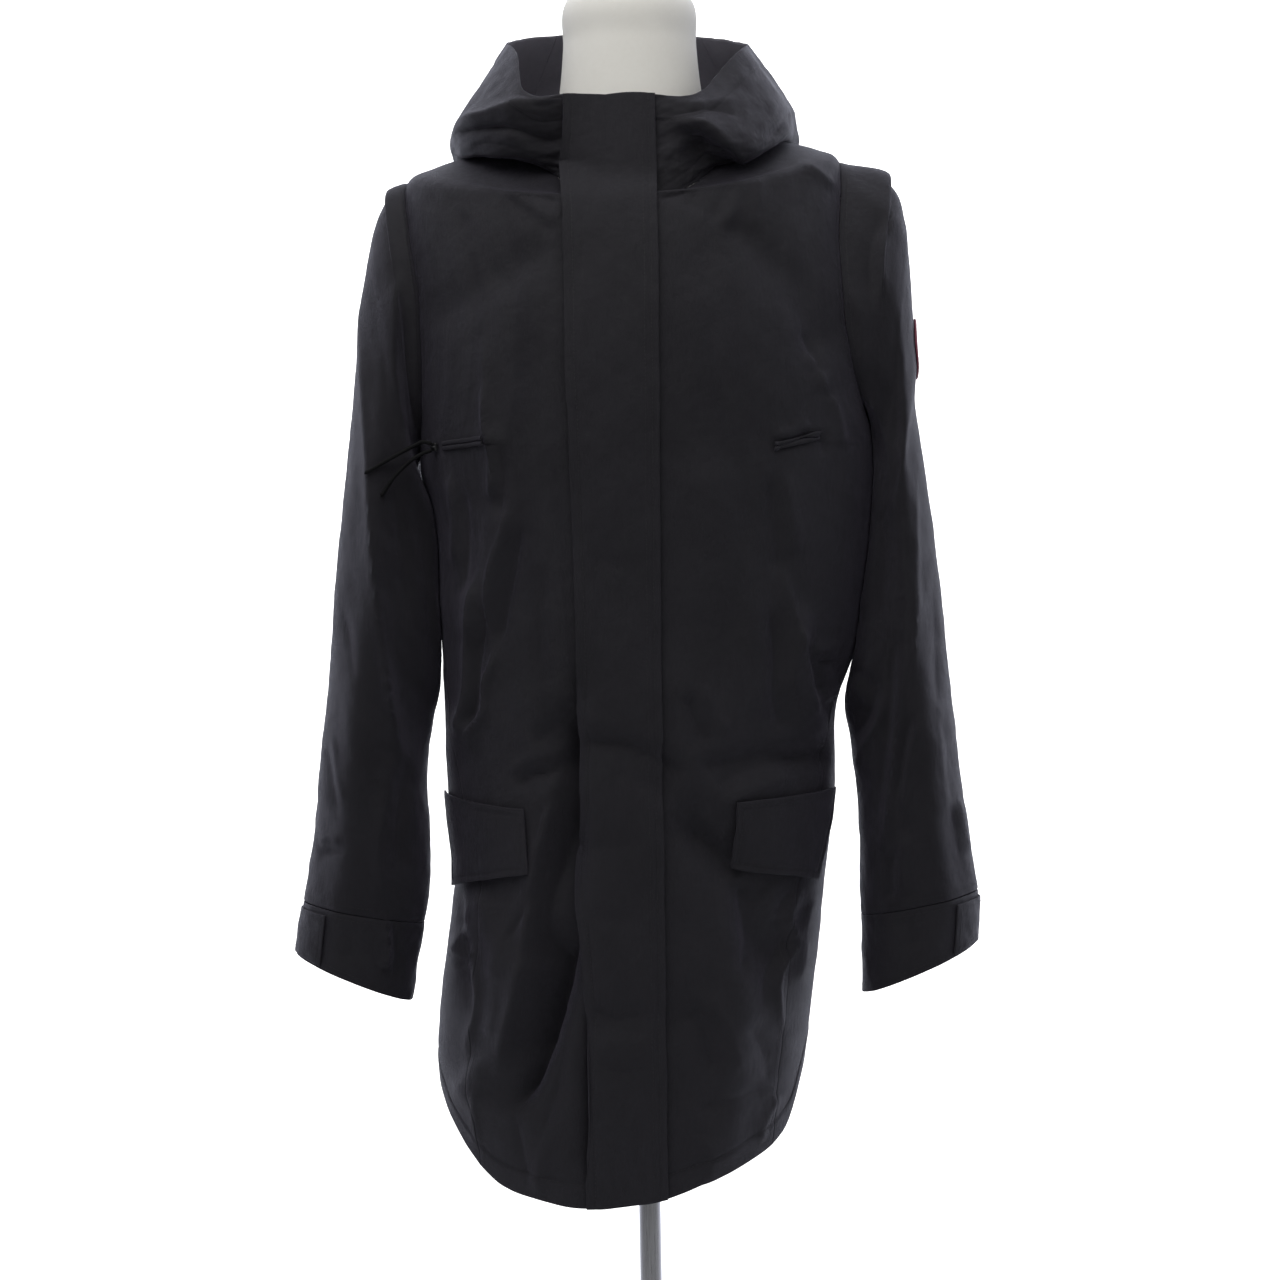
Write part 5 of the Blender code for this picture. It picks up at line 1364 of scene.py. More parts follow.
OUTER_EDGE = {
    # height, distance from the middle, by side
    -1: (
        (1.434, 0.196), (1.431, 0.206), (1.416, 0.215), (1.388, 0.2265), (1.362, 0.232), (1.31, 0.239),
        (1.204, 0.251), (1.117, 0.2607), (1.011, 0.2713), (0.906, 0.281), (0.853, 0.2864), (0.8, 0.2953),
        (0.758, 0.3013),
    ),
    1: (
        (1.434, 0.185), (1.431, 0.208), (1.416, 0.228), (1.388, 0.2385), (1.362, 0.2405), (1.31, 0.243),
        (1.266, 0.2454), (1.231, 0.2435), (1.196, 0.2477), (1.108, 0.2585), (1.002, 0.269),
        (0.896, 0.2768), (0.843, 0.283), (0.8, 0.289), (0.758, 0.286),
    ),
}
INNER_EDGE = {
    -1: (
        (1.19, 0.189), (1.182, 0.193), (1.168, 0.1955), (1.15, 0.19), (1.13, 0.1835), (1.06, 0.1805),
        (1.01, 0.1775), (0.985, 0.1772), (0.957, 0.1825), (0.904, 0.1887), (0.851, 0.1861),
        (0.816, 0.1867), (0.781, 0.1926), (0.716, 0.2034),
    ),
    1: (
        (1.19, 0.2085), (1.182, 0.213), (1.165, 0.2155), (1.13, 0.212), (1.06, 0.2025), (1.01, 0.192),
        (0.985, 0.185), (0.968, 0.18), (0.933, 0.1833), (0.897, 0.187), (0.845, 0.1888), (0.774, 0.1884),
        (0.716, 0.1887),
    ),
}
SLEEVE_FOLDS = (
    # ring, angle round the sleeve, rings it covers, degrees it covers, height
    (7, 78, 6, 16, 0.005), (12, 70, 3, 15, 0.004), (9.5, 130, 0.8, 40, -0.0035),
    (8.2, 200, 0.7, 45, -0.0035), (10.6, 20, 0.8, 40, -0.0025), (4, 60, 1.2, 25, -0.003),
    (11.6, 250, 0.8, 45, -0.0035), (6, 290, 3, 18, 0.004),
)
SIDE_CLEAR = 0.0030  # between the middle of a sleeve's cloth and the middle of the side's
# The ring where a sleeve leans on the side, the rings that this covers, and how far it reaches in
LEAN = {-1: (6.0, 2.6, 0.0125), 1: (4.6, 4.2, 0.0145)}
LEAN_TURN, LEAN_SPREAD = 22, 30  # degrees from the armpit, and degrees it covers
BESIDE_BODY = (0.225, 0.98, 1.24)  # the points that are kept off the side: largest x, and heights

# %% Finer creases of the sleeves
SLEEVE_FRONT_CREASES = in_metres((
    # height, width, roundness, then x and z of its points, all in millimetres
    # the wearer's right sleeve
    (7.8, 6, 1.1, (-239, 1385, -238.5, 1339, -237.6, 1292, -233.7, 1230, -229.7, 1171, -225.3, 1089,
        -219.5, 1012, -213, 954, -207, 900)),
    (4.4, 4, 1.2, (-217, 1036, -215, 979, -211, 957, -206, 918)),
    (-3.4, 6.3, 1.7, (-215, 1320, -214, 1251, -210, 1174, -203, 1096, -198, 1019)),
    (3.7, 4, 1.2, (-193, 1340, -204, 1329, -205, 1304, -206, 1263, -201, 1224, -194, 1198)),
    (-4, 4.7, 1.4, (-198, 1323, -198, 1268, -193, 1217, -186, 1173)),
    (-4.4, 6.3, 1.7, (-194, 1174, -185, 1096, -180, 1044, -178, 984)),
    (3, 3.1, 1.2, (-266, 953, -259, 916, -251, 883)),
    (-2.5, 3.1, 1.2, (-273, 944, -265, 908, -258, 877)),
    (2.8, 3.1, 1.2, (-279, 854, -267, 859, -255, 854)),
    (-2.8, 3.1, 1.2, (-281, 845, -266, 849, -252, 844)),
    (-2.8, 4, 1.2, (-258, 1063, -249, 1028, -242, 985)),
    (3.4, 5.4, 1.7, (-212, 934, -219, 891, -226, 848, -222, 799)),
    (-3, 4.7, 1.7, (-204, 925, -209, 874, -211, 818)),
    (3, 4.7, 1.4, (-195, 942, -197, 899, -195, 848)),
    (4, 3.1, 1.2, (-222, 796, -220, 761, -226, 748)),
    (-2.8, 3.1, 1.2, (-215, 796, -214, 763, -216, 731)),
    (-2.4, 4.7, 1.7, (-243, 1295, -250, 1218, -252, 1132)),
    (-2, 4.7, 1.7, (-253, 784, -251, 767, -257, 753)),
    # the wearer's left sleeve
    (5.1, 4.7, 1.2, (231, 1391, 218, 1363, 215, 1333, 216, 1309)),
    (-4, 5.4, 1.7, (221, 1394, 206, 1367, 202, 1335, 205, 1305)),
    (3, 4, 1.2, (184, 1331, 194, 1296, 194, 1263, 191, 1237)),
    (-7.6, 5.4, 1.7, (188, 1227, 199, 1211, 206, 1188, 209, 1156)),
    (5.1, 4, 1.2, (195, 1232, 208, 1216, 216, 1186, 217, 1153)),
    (-3.4, 6.3, 1.7, (222, 1313, 225, 1244, 223, 1175)),
    (4.4, 4, 1.2, (240, 1170, 237, 1115, 236, 1077, 233, 1020, 229, 967)),
    (4.7, 3.1, 1.2, (225, 1029, 221, 971, 215, 916, 209, 862, 205, 830)),
    (-4, 4.7, 1.4, (218, 1037, 213, 969, 207, 918, 200, 860)),
    (3.7, 4, 1.2, (240, 964, 230, 922, 225, 892, 222, 856)),
    (-3, 4, 1.2, (232, 964, 223, 924, 218, 883)),
    (4, 4, 1.2, (209, 979, 202, 949, 190, 928, 185, 898)),
    (-3.7, 4, 1.2, (202, 981, 194, 952, 184, 934)),
    (3.7, 4, 1.2, (176, 987, 189, 973, 199, 957)),
    (-3.4, 4, 1.2, (179, 997, 193, 983, 205, 978)),
    (-4.4, 7, 1.7, (212, 1140, 212, 1089, 205, 1020)),
    (3.4, 4, 1.2, (270, 885, 275, 855, 280, 833)),
    (-2.8, 3.1, 1.2, (263, 881, 267, 855, 271, 828)),
    (2.8, 4.7, 1.7, (225, 858, 221, 824, 223, 800)),
    (-2.8, 4.7, 1.7, (213, 845, 210, 815, 211, 796)),
    (-2.8, 4.7, 1.7, (253, 1089, 255, 1020, 252, 951)),
    (2.4, 4.7, 1.4, (253, 977, 254, 916, 260, 865)),
    (-2.4, 4, 1.2, (231, 794, 228, 773, 230, 755)),
))
SLEEVE_BACK_CREASES = in_metres((
    # height, width, roundness, then x and z of its points, all in millimetres
    # the wearer's right sleeve, from behind
    (2.8, 6, 1.8, (-222, 1330, -226, 1240, -232, 1150, -238, 1060)),
    (-2.4, 8, 3, (-208, 1300, -212, 1210, -214, 1130)),
    (-2.6, 7, 3, (-195, 1110, -215, 1085, -240, 1078)),
    (2.6, 6, 2, (-192, 1085, -214, 1058, -244, 1050)),
    (-2.2, 6, 2.5, (-190, 1045, -214, 1022, -246, 1020)),
    (2.2, 5, 1.8, (-200, 1000, -226, 940, -238, 870)),
    (2, 6, 2.5, (-264, 980, -262, 900, -268, 830)),
    (-1.8, 6, 2.5, (-220, 900, -224, 850, -220, 805)),
    # the wearer's left sleeve, from behind
    (2.8, 6, 1.8, (226, 1340, 232, 1250, 236, 1160, 238, 1080)),
    (-2.4, 8, 3, (216, 1290, 220, 1210, 218, 1130)),
    (-2.8, 7, 3, (204, 1120, 222, 1098, 246, 1094)),
    (2.6, 6, 2, (200, 1096, 220, 1070, 250, 1066)),
    (-2.2, 6, 2.5, (196, 1060, 216, 1036, 246, 1030)),
    (2.4, 5, 1.8, (204, 1010, 222, 950, 230, 880)),
    (2, 6, 2.5, (258, 990, 256, 910, 262, 840)),
    (-1.8, 6, 2.5, (214, 910, 220, 860, 216, 810)),
))
print("creases of the sleeves", len(SLEEVE_FRONT_CREASES) + len(SLEEVE_BACK_CREASES))


# %% Surface of a sleeve
def armhole(angle, side):
    """A point of the armhole: 0 is the shoulder, 90 the front, 180 the armpit, 270 the back."""
    along = ARMHOLE_ALONG + ARMHOLE_HALF * np.cos(np.radians(angle))
    turn = np.sin(np.radians(angle))
    reach = np.where(turn > 0, -ARMHOLE_FRONT[side], ARMHOLE_BACK[side]) * np.abs(turn)
    return body(side * (90 + reach), along)


def sleeve_oval(angle, ring, side):
    """A point of a sleeve's plain oval ring, between its outer and its inner edge."""
    outer_z, inner_z, front, back, _ = read_table(SLEEVE, ring)
    outer = side * read_table(OUTER_EDGE[side], outer_z)[0]
    inner = side * read_table(INNER_EDGE[side], inner_z)[0]
    turn, ahead = np.cos(np.radians(angle)), np.sin(np.radians(angle))
    x = (outer + inner) / 2 + (outer - inner) / 2 * turn
    z = (outer_z + inner_z) / 2 + (outer_z - inner_z) / 2 * turn
    y = (front + back) / 2 - (back - front) / 2 * ahead
    return np.stack(np.broadcast_arrays(x, y, z), axis=-1)


def sleeve(angle, ring, side):
    """A point of a sleeve: its oval ring, drawn towards the armhole near the shoulder, and its folds."""
    angle, ring = np.broadcast_arrays(np.asarray(angle, float), np.asarray(ring, float))
    share = np.clip(read_table(SLEEVE, ring)[4], 0, 1)[..., None]
    first = sleeve_oval(angle, np.zeros(ring.shape), side)
    oval = sleeve_oval(angle, ring, side) + share * (armhole(angle, side) - first)
    middle = sleeve_oval(0, ring, side) / 2 + sleeve_oval(180, ring, side) / 2
    away = oval - middle
    away /= np.linalg.norm(away, axis=-1, keepdims=True)
    height = np.zeros(ring.shape)
    for at, turn, rings, degrees, rise in SLEEVE_FOLDS:
        off = (angle - turn + 180) % 360 - 180
        height += rise * np.exp(-(((ring - at) / rings) ** 2) - (off / degrees) ** 2)
    at, rings, reach = LEAN[side]
    off = (angle + LEAN_TURN) % 360 - 180
    lean = reach * np.exp(-(((ring - at) / rings) ** 4) - (off / LEAN_SPREAD) ** 2)
    oval = oval + (lean * np.clip(ring, 0, 1))[..., None] * np.array([-side, -0.3, 0])
    start = np.array([side * SLEEVE_START, 0, 0])
    oval = oval + start * (1 - np.clip(ring, 0, 1))[..., None]
    x, z = oval[..., 0], oval[..., 2]
    facing = np.sin(np.radians(angle))
    front = crease_height(SLEEVE_FRONT_CREASES, x, z)
    rear = crease_height(SLEEVE_BACK_CREASES, x, z)
    height = height + np.where(facing > 0, front, rear) * np.clip(np.abs(facing) * 3, 0, 1)
    height = height + ripple(z + x, angle * 0.0012) * np.clip(ring, 0, 1)
    return oval + away * height[..., None]


def sleeve_of(side):
    """The sleeve's surface with its angle running so that its normal points out of the sleeve."""
    return lambda angle, ring: sleeve(angle * side, ring, side)


# %% Sleeves and cuffs
turn = np.arange(0, 360, 3.6)[None, :]
SLEEVE_END = CUFF_RING - CUFF_SEAM
sleeve_rings = np.concatenate(
    [[0, 0.03, 0.09], np.linspace(0.16, CUFF_RING - 0.1, 200), [SLEEVE_END - 0.02, SLEEVE_END]])[:, None]
cuff_rings = np.linspace(CUFF_RING + 0.06, LAST_RING - 0.05, 26)
cuff_rings = np.concatenate(
    [[CUFF_RING, CUFF_RING + 0.02], cuff_rings, [LAST_RING - 0.02, LAST_RING]])[:, None]
for side, name in ((-1, "right"), (1, "left")):
    surface = sleeve_of(side)
    for part, rings in (("sleeve_", sleeve_rings), ("cuff_", cuff_rings)):
        points = surface(turn + 0 * rings, rings + 0 * turn)
        if part == "sleeve_":
            x, _, z = np.moveaxis(points, -1, 0)
            near = (np.abs(x) < BESIDE_BODY[0]) & (z > BESIDE_BODY[1]) & (z < BESIDE_BODY[2])
            clear = SIDE_CLEAR * np.clip(rings + 0 * turn, 0, 1)
            points[near] = kept_off_body(points[near], clear[near], SIDE_SAMPLES[side])
        piece = shell(part + name + "_cloth", points, jacket_cloth, closed=True)
        dress(piece, "jacket_cloth", part + name, points, closed=True)

# %% [markdown]
# ## Tabs on the cuffs
#
# A wide tab lies round the outer half of each cuff and closes it. It is made from the cuff's own
# surface, moved out by one layer.

# %% Cuff tabs
TAB_ANGLES = (-80, 60)  # from the back, over the outside, to the front
TAB_RINGS = (14.12, 15.9)
TAB_OUT = LAYER + SEAM
for side, name in ((-1, "right"), (1, "left")):
    surface = sleeve_of(side)
    angle = TAB_ANGLES[0] + (TAB_ANGLES[1] - TAB_ANGLES[0]) * with_edges(50, (0.002, 0.006))
    angle = (angle * side)[None, :] if side > 0 else (angle * side)[None, ::-1]
    ring = TAB_RINGS[0] + (TAB_RINGS[1] - TAB_RINGS[0]) * with_edges(34, (0.006, 0.02))[:, None]
    points = surface(angle + 0 * ring, ring + 0 * angle)
    piece = shell("cuff_tab_" + name + "_cloth", points, jacket_cloth, out=TAB_OUT)
    dress(piece, "jacket_cloth", "cuff_tab_" + name, points)

# %% [markdown]
# ## Storm flap and front zip
#
# The storm flap hides the closed zip. It is sewn to the wearer's left front and lies free on the right,
# where it spans the deep trough beside it instead of following it. It goes on up the front of the hood.
# Its edges keep their distance from the middle, so the angle that has the right x is found in a few
# steps on each row.


# %% Strips up the front
STRIP_LEAVES, STRIP_JOINS = 1.3985, 1.414  # the heights between which it bridges the neck seam


def strip_points(free, sewn_at, columns, deep_share, fine):
    """A grid up the front between two edges given as functions of height: body first, then hood."""
    across = columns[None, :]
    low_rows = body_rows(84, 94, 56, 24)
    low_rows = low_rows[low_rows < 1.525]
    level = level_at(low_rows, 0)
    x = free(level)[:, None] * (1 - across) + sewn_at(level)[:, None] * across
    angle = angle_at(x, [half[:, None] for half in widths_at(level)])
    low = body(angle, low_rows[:, None] + 0 * angle, deep_share, fine)
    share = np.concatenate([np.linspace(0.08, 1, 44)[:-1], [0.994, 1.0]])[:, None]
    height = neck_ring(0)[2] + 0 * share[:, 0]
    x = free(height)[:, None] * (1 - across) + sewn_at(height)[:, None] * across
    high = hood(hood_angle_at(x, share + 0 * x), share + 0 * x)
    middle = len(columns) // 2
    low = low[:np.argmax(low[:, middle, 2] > STRIP_LEAVES)]
    high = high[np.argmax(high[:, middle, 2] > STRIP_JOINS):]
    bridge = low[-1] + (high[0] - low[-1]) * np.linspace(0, 1, 12)[1:-1, None, None]
    return np.concatenate([low, bridge, high])


def eased(points, passes=30, low=1.385, high=1.432):
    """Rows averaged with their neighbours near the neck seam, where the strip goes from body to hood."""
    z = points[..., 2:3]
    weight = 0.5 * np.clip((z - low) / 0.012, 0, 1) * np.clip((high - z) / 0.012, 0, 1)
    for _ in range(passes):
        middle = (points[:-2] + points[2:]) / 2
        points = points.copy()
        points[1:-1] += (middle - points[1:-1]) * weight[1:-1]
    return points


def flap_edge(column):
    return lambda height: read_table(FLAP_EDGES, height)[column]


zip_out = CLOTH / 2 + SEAM + ZIP_THICK / 2
flap_out = zip_out + ZIP_THICK / 2 + FLAP_CLEAR + CLOTH / 2
columns = with_edges(44, near=(0.006, 0.017))
points = eased(strip_points(flap_edge(0), flap_edge(1), columns, FLAP_SHARE, 0.6))
across = lengths(points, 1)
from_free, from_sewn = across, across[:, -1:] - across
height = points[..., 2]
waves = np.clip(0.5 + np.sin(height * 31 + 1.2) * 0.6, 0, 1)
lift = (0.0030 + 0.0035 * bell(height, 0.82, 0.10)) * np.exp(-from_free / 0.012) * waves
groove = 0.0005 * (bell(from_sewn, 0.006, 0.0013) + bell(from_free, 0.008, 0.0013))
piece = shell("storm_flap_cloth", points, jacket_cloth, out=flap_out + lift, relief=0.0006 - groove)
dress(piece, "jacket_cloth", "storm_flap", points)

# %% The zip's tapes and teeth
columns = np.linspace(0, 1, 9)
points = strip_points(
    lambda z: FRONTS_MEET - ZIP_HALF + 0 * z, lambda z: FRONTS_MEET + ZIP_HALF + 0 * z, columns, 1.0, 1.0)
teeth = 0.0005 * bell(columns[None, :], 0.5, 0.09) * (1 + 0 * points[..., 0])
piece = shell("front_zip_tape", points, zip_tape, out=zip_out, thick=ZIP_THICK, relief=teeth)
dress(piece, "zip_tape", "front_zip", points)

# %% [markdown]
# ## Pieces that lie on a front
#
# Pocket flaps and chest zips are set between four corners that are seen from the front. Their points
# come from the front's own surface, moved out, so they follow its creases.

# %% Pieces between four corners
POCKET_FLAPS = {
    "pocket_flap_right": ((-0.1690, 0.8960), (-0.0998, 0.8835), (-0.0945, 0.8290), (-0.1610, 0.8140)),
    "pocket_flap_left": ((0.1635, 0.8945), (0.0770, 0.8870), (0.0790, 0.8300), (0.1440, 0.8170)),
}
POCKET_FLAP_OUT = 0.0029
POCKET_FLAP_LIFT = 0.0025  # how far a flap's free edge stands off
CHEST_ZIPS = {
    "chest_zip_right": ((-0.1640, 1.1965), (-0.1200, 1.1980), (-0.1200, 1.1900), (-0.1640, 1.1885)),
    "chest_zip_left": ((0.1560, 1.1990), (0.1150, 1.1885), (0.1150, 1.1805), (0.1560, 1.1910)),
}
CHEST_ZIP_OUT = 0.0023


def between_corners(corners, columns, rows):
    """Angles and heights of a grid between four corners: sewn edge first, then the free edge."""
    x, z = np.array(corners).T
    turn = angle_at(x, widths_at(z))
    u, v = columns[None, :], rows[::-1, None]
    if x[0] > x[1]:
        u = u[:, ::-1]
    angle = (turn[0] + (turn[1] - turn[0]) * u) * (1 - v) + (turn[3] + (turn[2] - turn[3]) * u) * v
    z = (z[0] + (z[1] - z[0]) * u) * (1 - v) + (z[3] + (z[2] - z[3]) * u) * v
    return angle, z, v + 0 * angle


for name, corners in POCKET_FLAPS.items():
    angle, z, down = between_corners(
        corners, with_edges(56, (0.005, 0.015)), with_edges(50, (0.006, 0.018)))
    points = body(angle, z, fine=0.45)
    rim = to_rim(points, False)
    rim = np.where(down < 0.1, 1.0, rim)
    bulge = 0.0010 * np.sin(np.pi * np.clip(down, 0, 1))
    out = POCKET_FLAP_OUT + POCKET_FLAP_LIFT * down**1.5 + bulge
    relief = 0.0007 - 0.0005 * bell(rim, 0.006, 0.0012)
    piece = shell(name + "_cloth", points, jacket_cloth, out=out, relief=relief)
    dress(piece, "jacket_cloth", name, points)

# %% Chest zips, each between two welts
for name, corners in CHEST_ZIPS.items():
    angle, z, down = between_corners(corners, with_edges(60, (0.004, 0.01)), np.linspace(0, 1, 25))
    points = body(angle, z)
    lips = 0.0007 * np.abs(np.sin(2 * np.pi * down)) - 0.0009 * bell(down, 0.5, 0.05)
    piece = shell(name + "_welts", points, jacket_cloth, out=CHEST_ZIP_OUT, thick=CLOTH * 0.7, relief=lips)
    fasten(piece, "jacket_cloth", name)
    print(piece.name, points.shape[:2])

# %% [markdown]
# ## Slider and cord pull
#
# The chest zip's slider is a small enamelled body with an eye. Through the eye goes a cord whose two
# ends stand free. The slider is a rounded box: a ball whose directions are raised to a small power.


# %% The slider
SLIDER = ((-0.1740, 1.1960), (-0.1660, 1.1960), (-0.1660, 1.1885), (-0.1740, 1.1885))
SLIDER_OUT = 0.0032


def on_surface(surface, u, v, out):
    """A point of a surface, moved out from it, and the normal there."""
    u, v = np.asarray(u, float), np.asarray(v, float)
    across = surface(u + 0.1, v) - surface(u - 0.1, v)
    up = surface(u, v + 0.001) - surface(u, v - 0.001)
    normal = np.cross(across, up)
    normal /= np.linalg.norm(normal, axis=-1, keepdims=True)
    return surface(u, v) + normal * out, normal


def rounded_box(half, power=0.35, steps=40):
    """Points of a ball whose sines and cosines are squared off by a power, stretched along x, y and z."""
    turn = np.linspace(0, 2 * np.pi, steps, endpoint=False)[None, :]
    lift = np.linspace(-np.pi / 2, np.pi / 2, steps // 2 + 1)[1:-1, None]
    flat = signed_power(np.cos(lift), power)
    return np.stack([
        half[0] * flat * signed_power(np.cos(turn), power),
        half[1] * flat * signed_power(np.sin(turn), power),
        half[2] * signed_power(np.sin(lift), power) + 0 * turn,
    ], axis=-1)


def tube(name, rings, material):
    """A closed skin over rings of points, with a flat face at both ends and its UV map in metres."""
    rows, columns = rings.shape[:2]
    wide = np.concatenate([rings, rings[:, :1]], axis=1)
    uv_grid = np.stack([lengths(wide, 1), lengths(wide, 0)], axis=-1).reshape(-1, 2)
    cell = np.arange(rows * (columns + 1)).reshape(rows, columns + 1)
    vertex = ((cell // (columns + 1)) * columns + (cell % (columns + 1)) % columns).ravel()
    corners = grid_faces(cell)
    caps = np.stack([cell[0, :-1][::-1], cell[-1, :-1]])
    uv = uv_grid[np.concatenate([corners.ravel(), caps.ravel()])]
    return new_object(name, rings.reshape(-1, 3), [vertex[corners], vertex[caps]], uv, material)


def ring_path(path, radius, steps, twist=0.0, start=None):
    """Rings of points round a path. Each ring lies in the plane across the path's direction."""
    ahead = np.gradient(path, axis=0)
    ahead /= np.linalg.norm(ahead, axis=1, keepdims=True)
    side = np.cross(ahead, (0.0, 1.0, 0.0))
    side /= np.linalg.norm(side, axis=1, keepdims=True)
    up = np.cross(ahead, side)
    turn = np.linspace(0, 2 * np.pi, steps, endpoint=False)[None, :] + twist
    radius = np.broadcast_to(radius, (len(path), steps))
    across, lift = (radius * np.cos(turn))[..., None], (radius * np.sin(turn))[..., None]
    return path[:, None] + (side[:, None] * across + up[:, None] * lift)


x, z = np.array(SLIDER).mean(axis=0)
where = angle_at(x, widths_at(z))
middle, normal = on_surface(body, where, z, SLIDER_OUT)
side = np.cross((0.0, 0.0, 1.0), normal)
side /= np.linalg.norm(side)
axes = np.array([side, np.cross(normal, side), normal])
half = (0.0040, 0.00365, 0.0016)
points = rounded_box(half)
points[..., 0] *= 1 - 0.16 * bell(points[..., 1], 0, 0.0011)  # its waist
slider = tube("chest_slider_body", middle + points @ axes, enamel)
fasten(slider, "slider_metal", "chest_slider_right")
arch = np.linspace(0, np.pi, 24)
arch = np.stack([-0.0030 * np.cos(arch), 0 * arch, 0.0012 + 0.0018 * np.sin(arch)], axis=-1)
bridge = tube("chest_slider_eye", ring_path(middle + arch @ axes, 0.00055, 12), enamel)
fasten(bridge, "slider_metal")
print("slider at", middle.round(4))

# %% [markdown]
# A cord is a braid of soft threads round a core. Its surface is a tube whose radius rises and falls
# along two sets of helices, wound left and right.

# %% Cord pull
CORD_RADIUS = 0.00175
CORD_ROUTES = {
    'pull_cord_upper': (
        (-0.1748, -0.0745, 1.1946), (-0.183, -0.074, 1.1965), (-0.193, -0.0735, 1.192),
        (-0.208, -0.076, 1.184), (-0.233, -0.0765, 1.17),
    ),
    'pull_cord_lower': (
        (-0.1747, -0.0745, 1.1894), (-0.184, -0.075, 1.186), (-0.195, -0.0755, 1.179),
        (-0.208, -0.077, 1.166), (-0.219, -0.0775, 1.15),
    ),
}
CORD_STEPS = 60
for name, route in CORD_ROUTES.items():
    numbered = np.column_stack([np.arange(len(route)), route])
    path = read_table(numbered, np.linspace(0, len(route) - 1, CORD_STEPS)).T
    run = lengths(path[None], 1)[0][:, None]
    turn = np.linspace(0, 2 * np.pi, 20, endpoint=False)[None, :]
    braid = np.abs(np.sin(4 * turn + run * 2200)) * np.abs(np.sin(4 * turn - run * 2200))
    end = np.sqrt(np.clip(np.minimum(run, run[-1] - run) / 0.0012, 0.08, 1))
    radius = CORD_RADIUS * (0.94 + 0.08 * braid) * end
    piece = tube(name + "_braid", ring_path(path, radius, 20), cord_cloth)
    fasten(piece, "pull_cord", name)
    print(piece.name, "length", round(float(run[-1, 0]), 4))

# %% [markdown]
# ## Sleeve patch
#
# A small round patch is sewn to the upper sleeve. It is left plain. Its points are found on the sleeve
# by stepping each one's angle and ring until it lies on a disc, and its rim is a raised edge of close
# stitches.

# %% The patch
PATCH_RING, PATCH_ANGLE, PATCH_RADIUS = 5.5, 4.0, 0.0265
PATCH_OUT = 0.0020
PATCH_STEPS = 25


def disc_on_sleeve(reach, around):
    """Points of a disc on the left sleeve, by stepping towards their places as seen from the side."""
    surface = sleeve_of(1)
    middle = surface(np.array(PATCH_ANGLE), np.array(PATCH_RING))
    per_degree = surface(np.array(PATCH_ANGLE + 1.0), np.array(PATCH_RING))[1] - middle[1]
    per_ring = surface(np.array(PATCH_ANGLE), np.array(PATCH_RING + 1.0))[2] - middle[2]
    want_y, want_z = middle[1] - reach * np.cos(around), middle[2] + reach * np.sin(around)
    angle, ring = np.full(want_y.shape, PATCH_ANGLE), np.full(want_y.shape, PATCH_RING)
    for _ in range(PATCH_STEPS):
        now = surface(angle, ring)
        angle = angle + (want_y - now[..., 1]) / per_degree / 2
        ring = ring + (want_z - now[..., 2]) / per_ring / 2
    return surface(angle, ring)


around = np.linspace(0, 2 * np.pi, 72, endpoint=False)[None, :]
reach = PATCH_RADIUS * np.concatenate([np.linspace(0.01, 0.86, 20), np.linspace(0.88, 1.0, 12)])[:, None]
points = disc_on_sleeve(reach, around + 0 * reach)
rim = bell(reach / PATCH_RADIUS, 0.94, 0.04) * (0.8 + 0.2 * np.sin(around * 110))
piece = shell("sleeve_patch_cloth", points, patch_cloth, out=PATCH_OUT, relief=0.0005 * rim, closed=True)
fasten(piece, "patch", "sleeve_patch")
flat, area = 2 * PATCH_RADIUS, np.pi * PATCH_RADIUS**2
cuts[piece.name] = (flat, flat, round(area, 4))
print(piece.name, points.shape[:2])

# %% [markdown]
# ## Sewing the pieces
#
# Flat-felled seams and hems carry one or two rows of topstitching. Each row is a line at a distance from
# a border of the piece's own outer face.

# %% Topstitching
TOPSTITCHED = {
    # piece: (distance, axis, from the end), one for each row of stitches
    "front_right_cloth": ((HEM_BAND, 0, False), (0.006, 1, False)),
    "front_left_cloth": ((HEM_BAND, 0, False), (0.006, 1, True)),
    "back_cloth": ((HEM_BAND, 0, False),),
    "storm_flap_cloth": ((0.008, 1, False), (0.006, 1, True), (0.012, 1, True)),
    "hood_side_left_cloth": ((HOOD_HEM, 0, True), (0.005, 0, False), (0.005, 1, True)),
    "hood_side_right_cloth": ((HOOD_HEM, 0, True), (0.005, 0, False), (0.005, 1, False)),
    "hood_centre_cloth": ((HOOD_HEM, 0, True), (0.005, 1, False), (0.005, 1, True)),
    "pocket_flap_right_cloth": ((0.006, 0, False), (0.006, 1, False), (0.006, 1, True), (0.004, 0, True)),
    "pocket_flap_left_cloth": ((0.006, 0, False), (0.006, 1, False), (0.006, 1, True), (0.004, 0, True)),
    "sleeve_right_cloth": ((0.006, 0, False), (0.006, 0, True)),
    "sleeve_left_cloth": ((0.006, 0, False), (0.006, 0, True)),
    "cuff_right_cloth": ((0.005, 0, False), (0.006, 0, True)),
    "cuff_left_cloth": ((0.005, 0, False), (0.006, 0, True)),
    "cuff_tab_right_cloth": ((0.005, 0, False), (0.005, 1, False), (0.005, 0, True)),
    "cuff_tab_left_cloth": ((0.005, 0, False), (0.005, 1, True), (0.005, 0, True)),
    "chest_zip_right_welts": ((0.0015, 0, False), (0.0015, 0, True)),
    "chest_zip_left_welts": ((0.0015, 0, False), (0.0015, 0, True)),
}
for name, lines in TOPSTITCHED.items():
    piece = sewn(name.rsplit("_", 1)[0] + "_stitches", [inset_line(name, *line) for line in lines], thread)
    fasten(piece, "jacket_cloth")
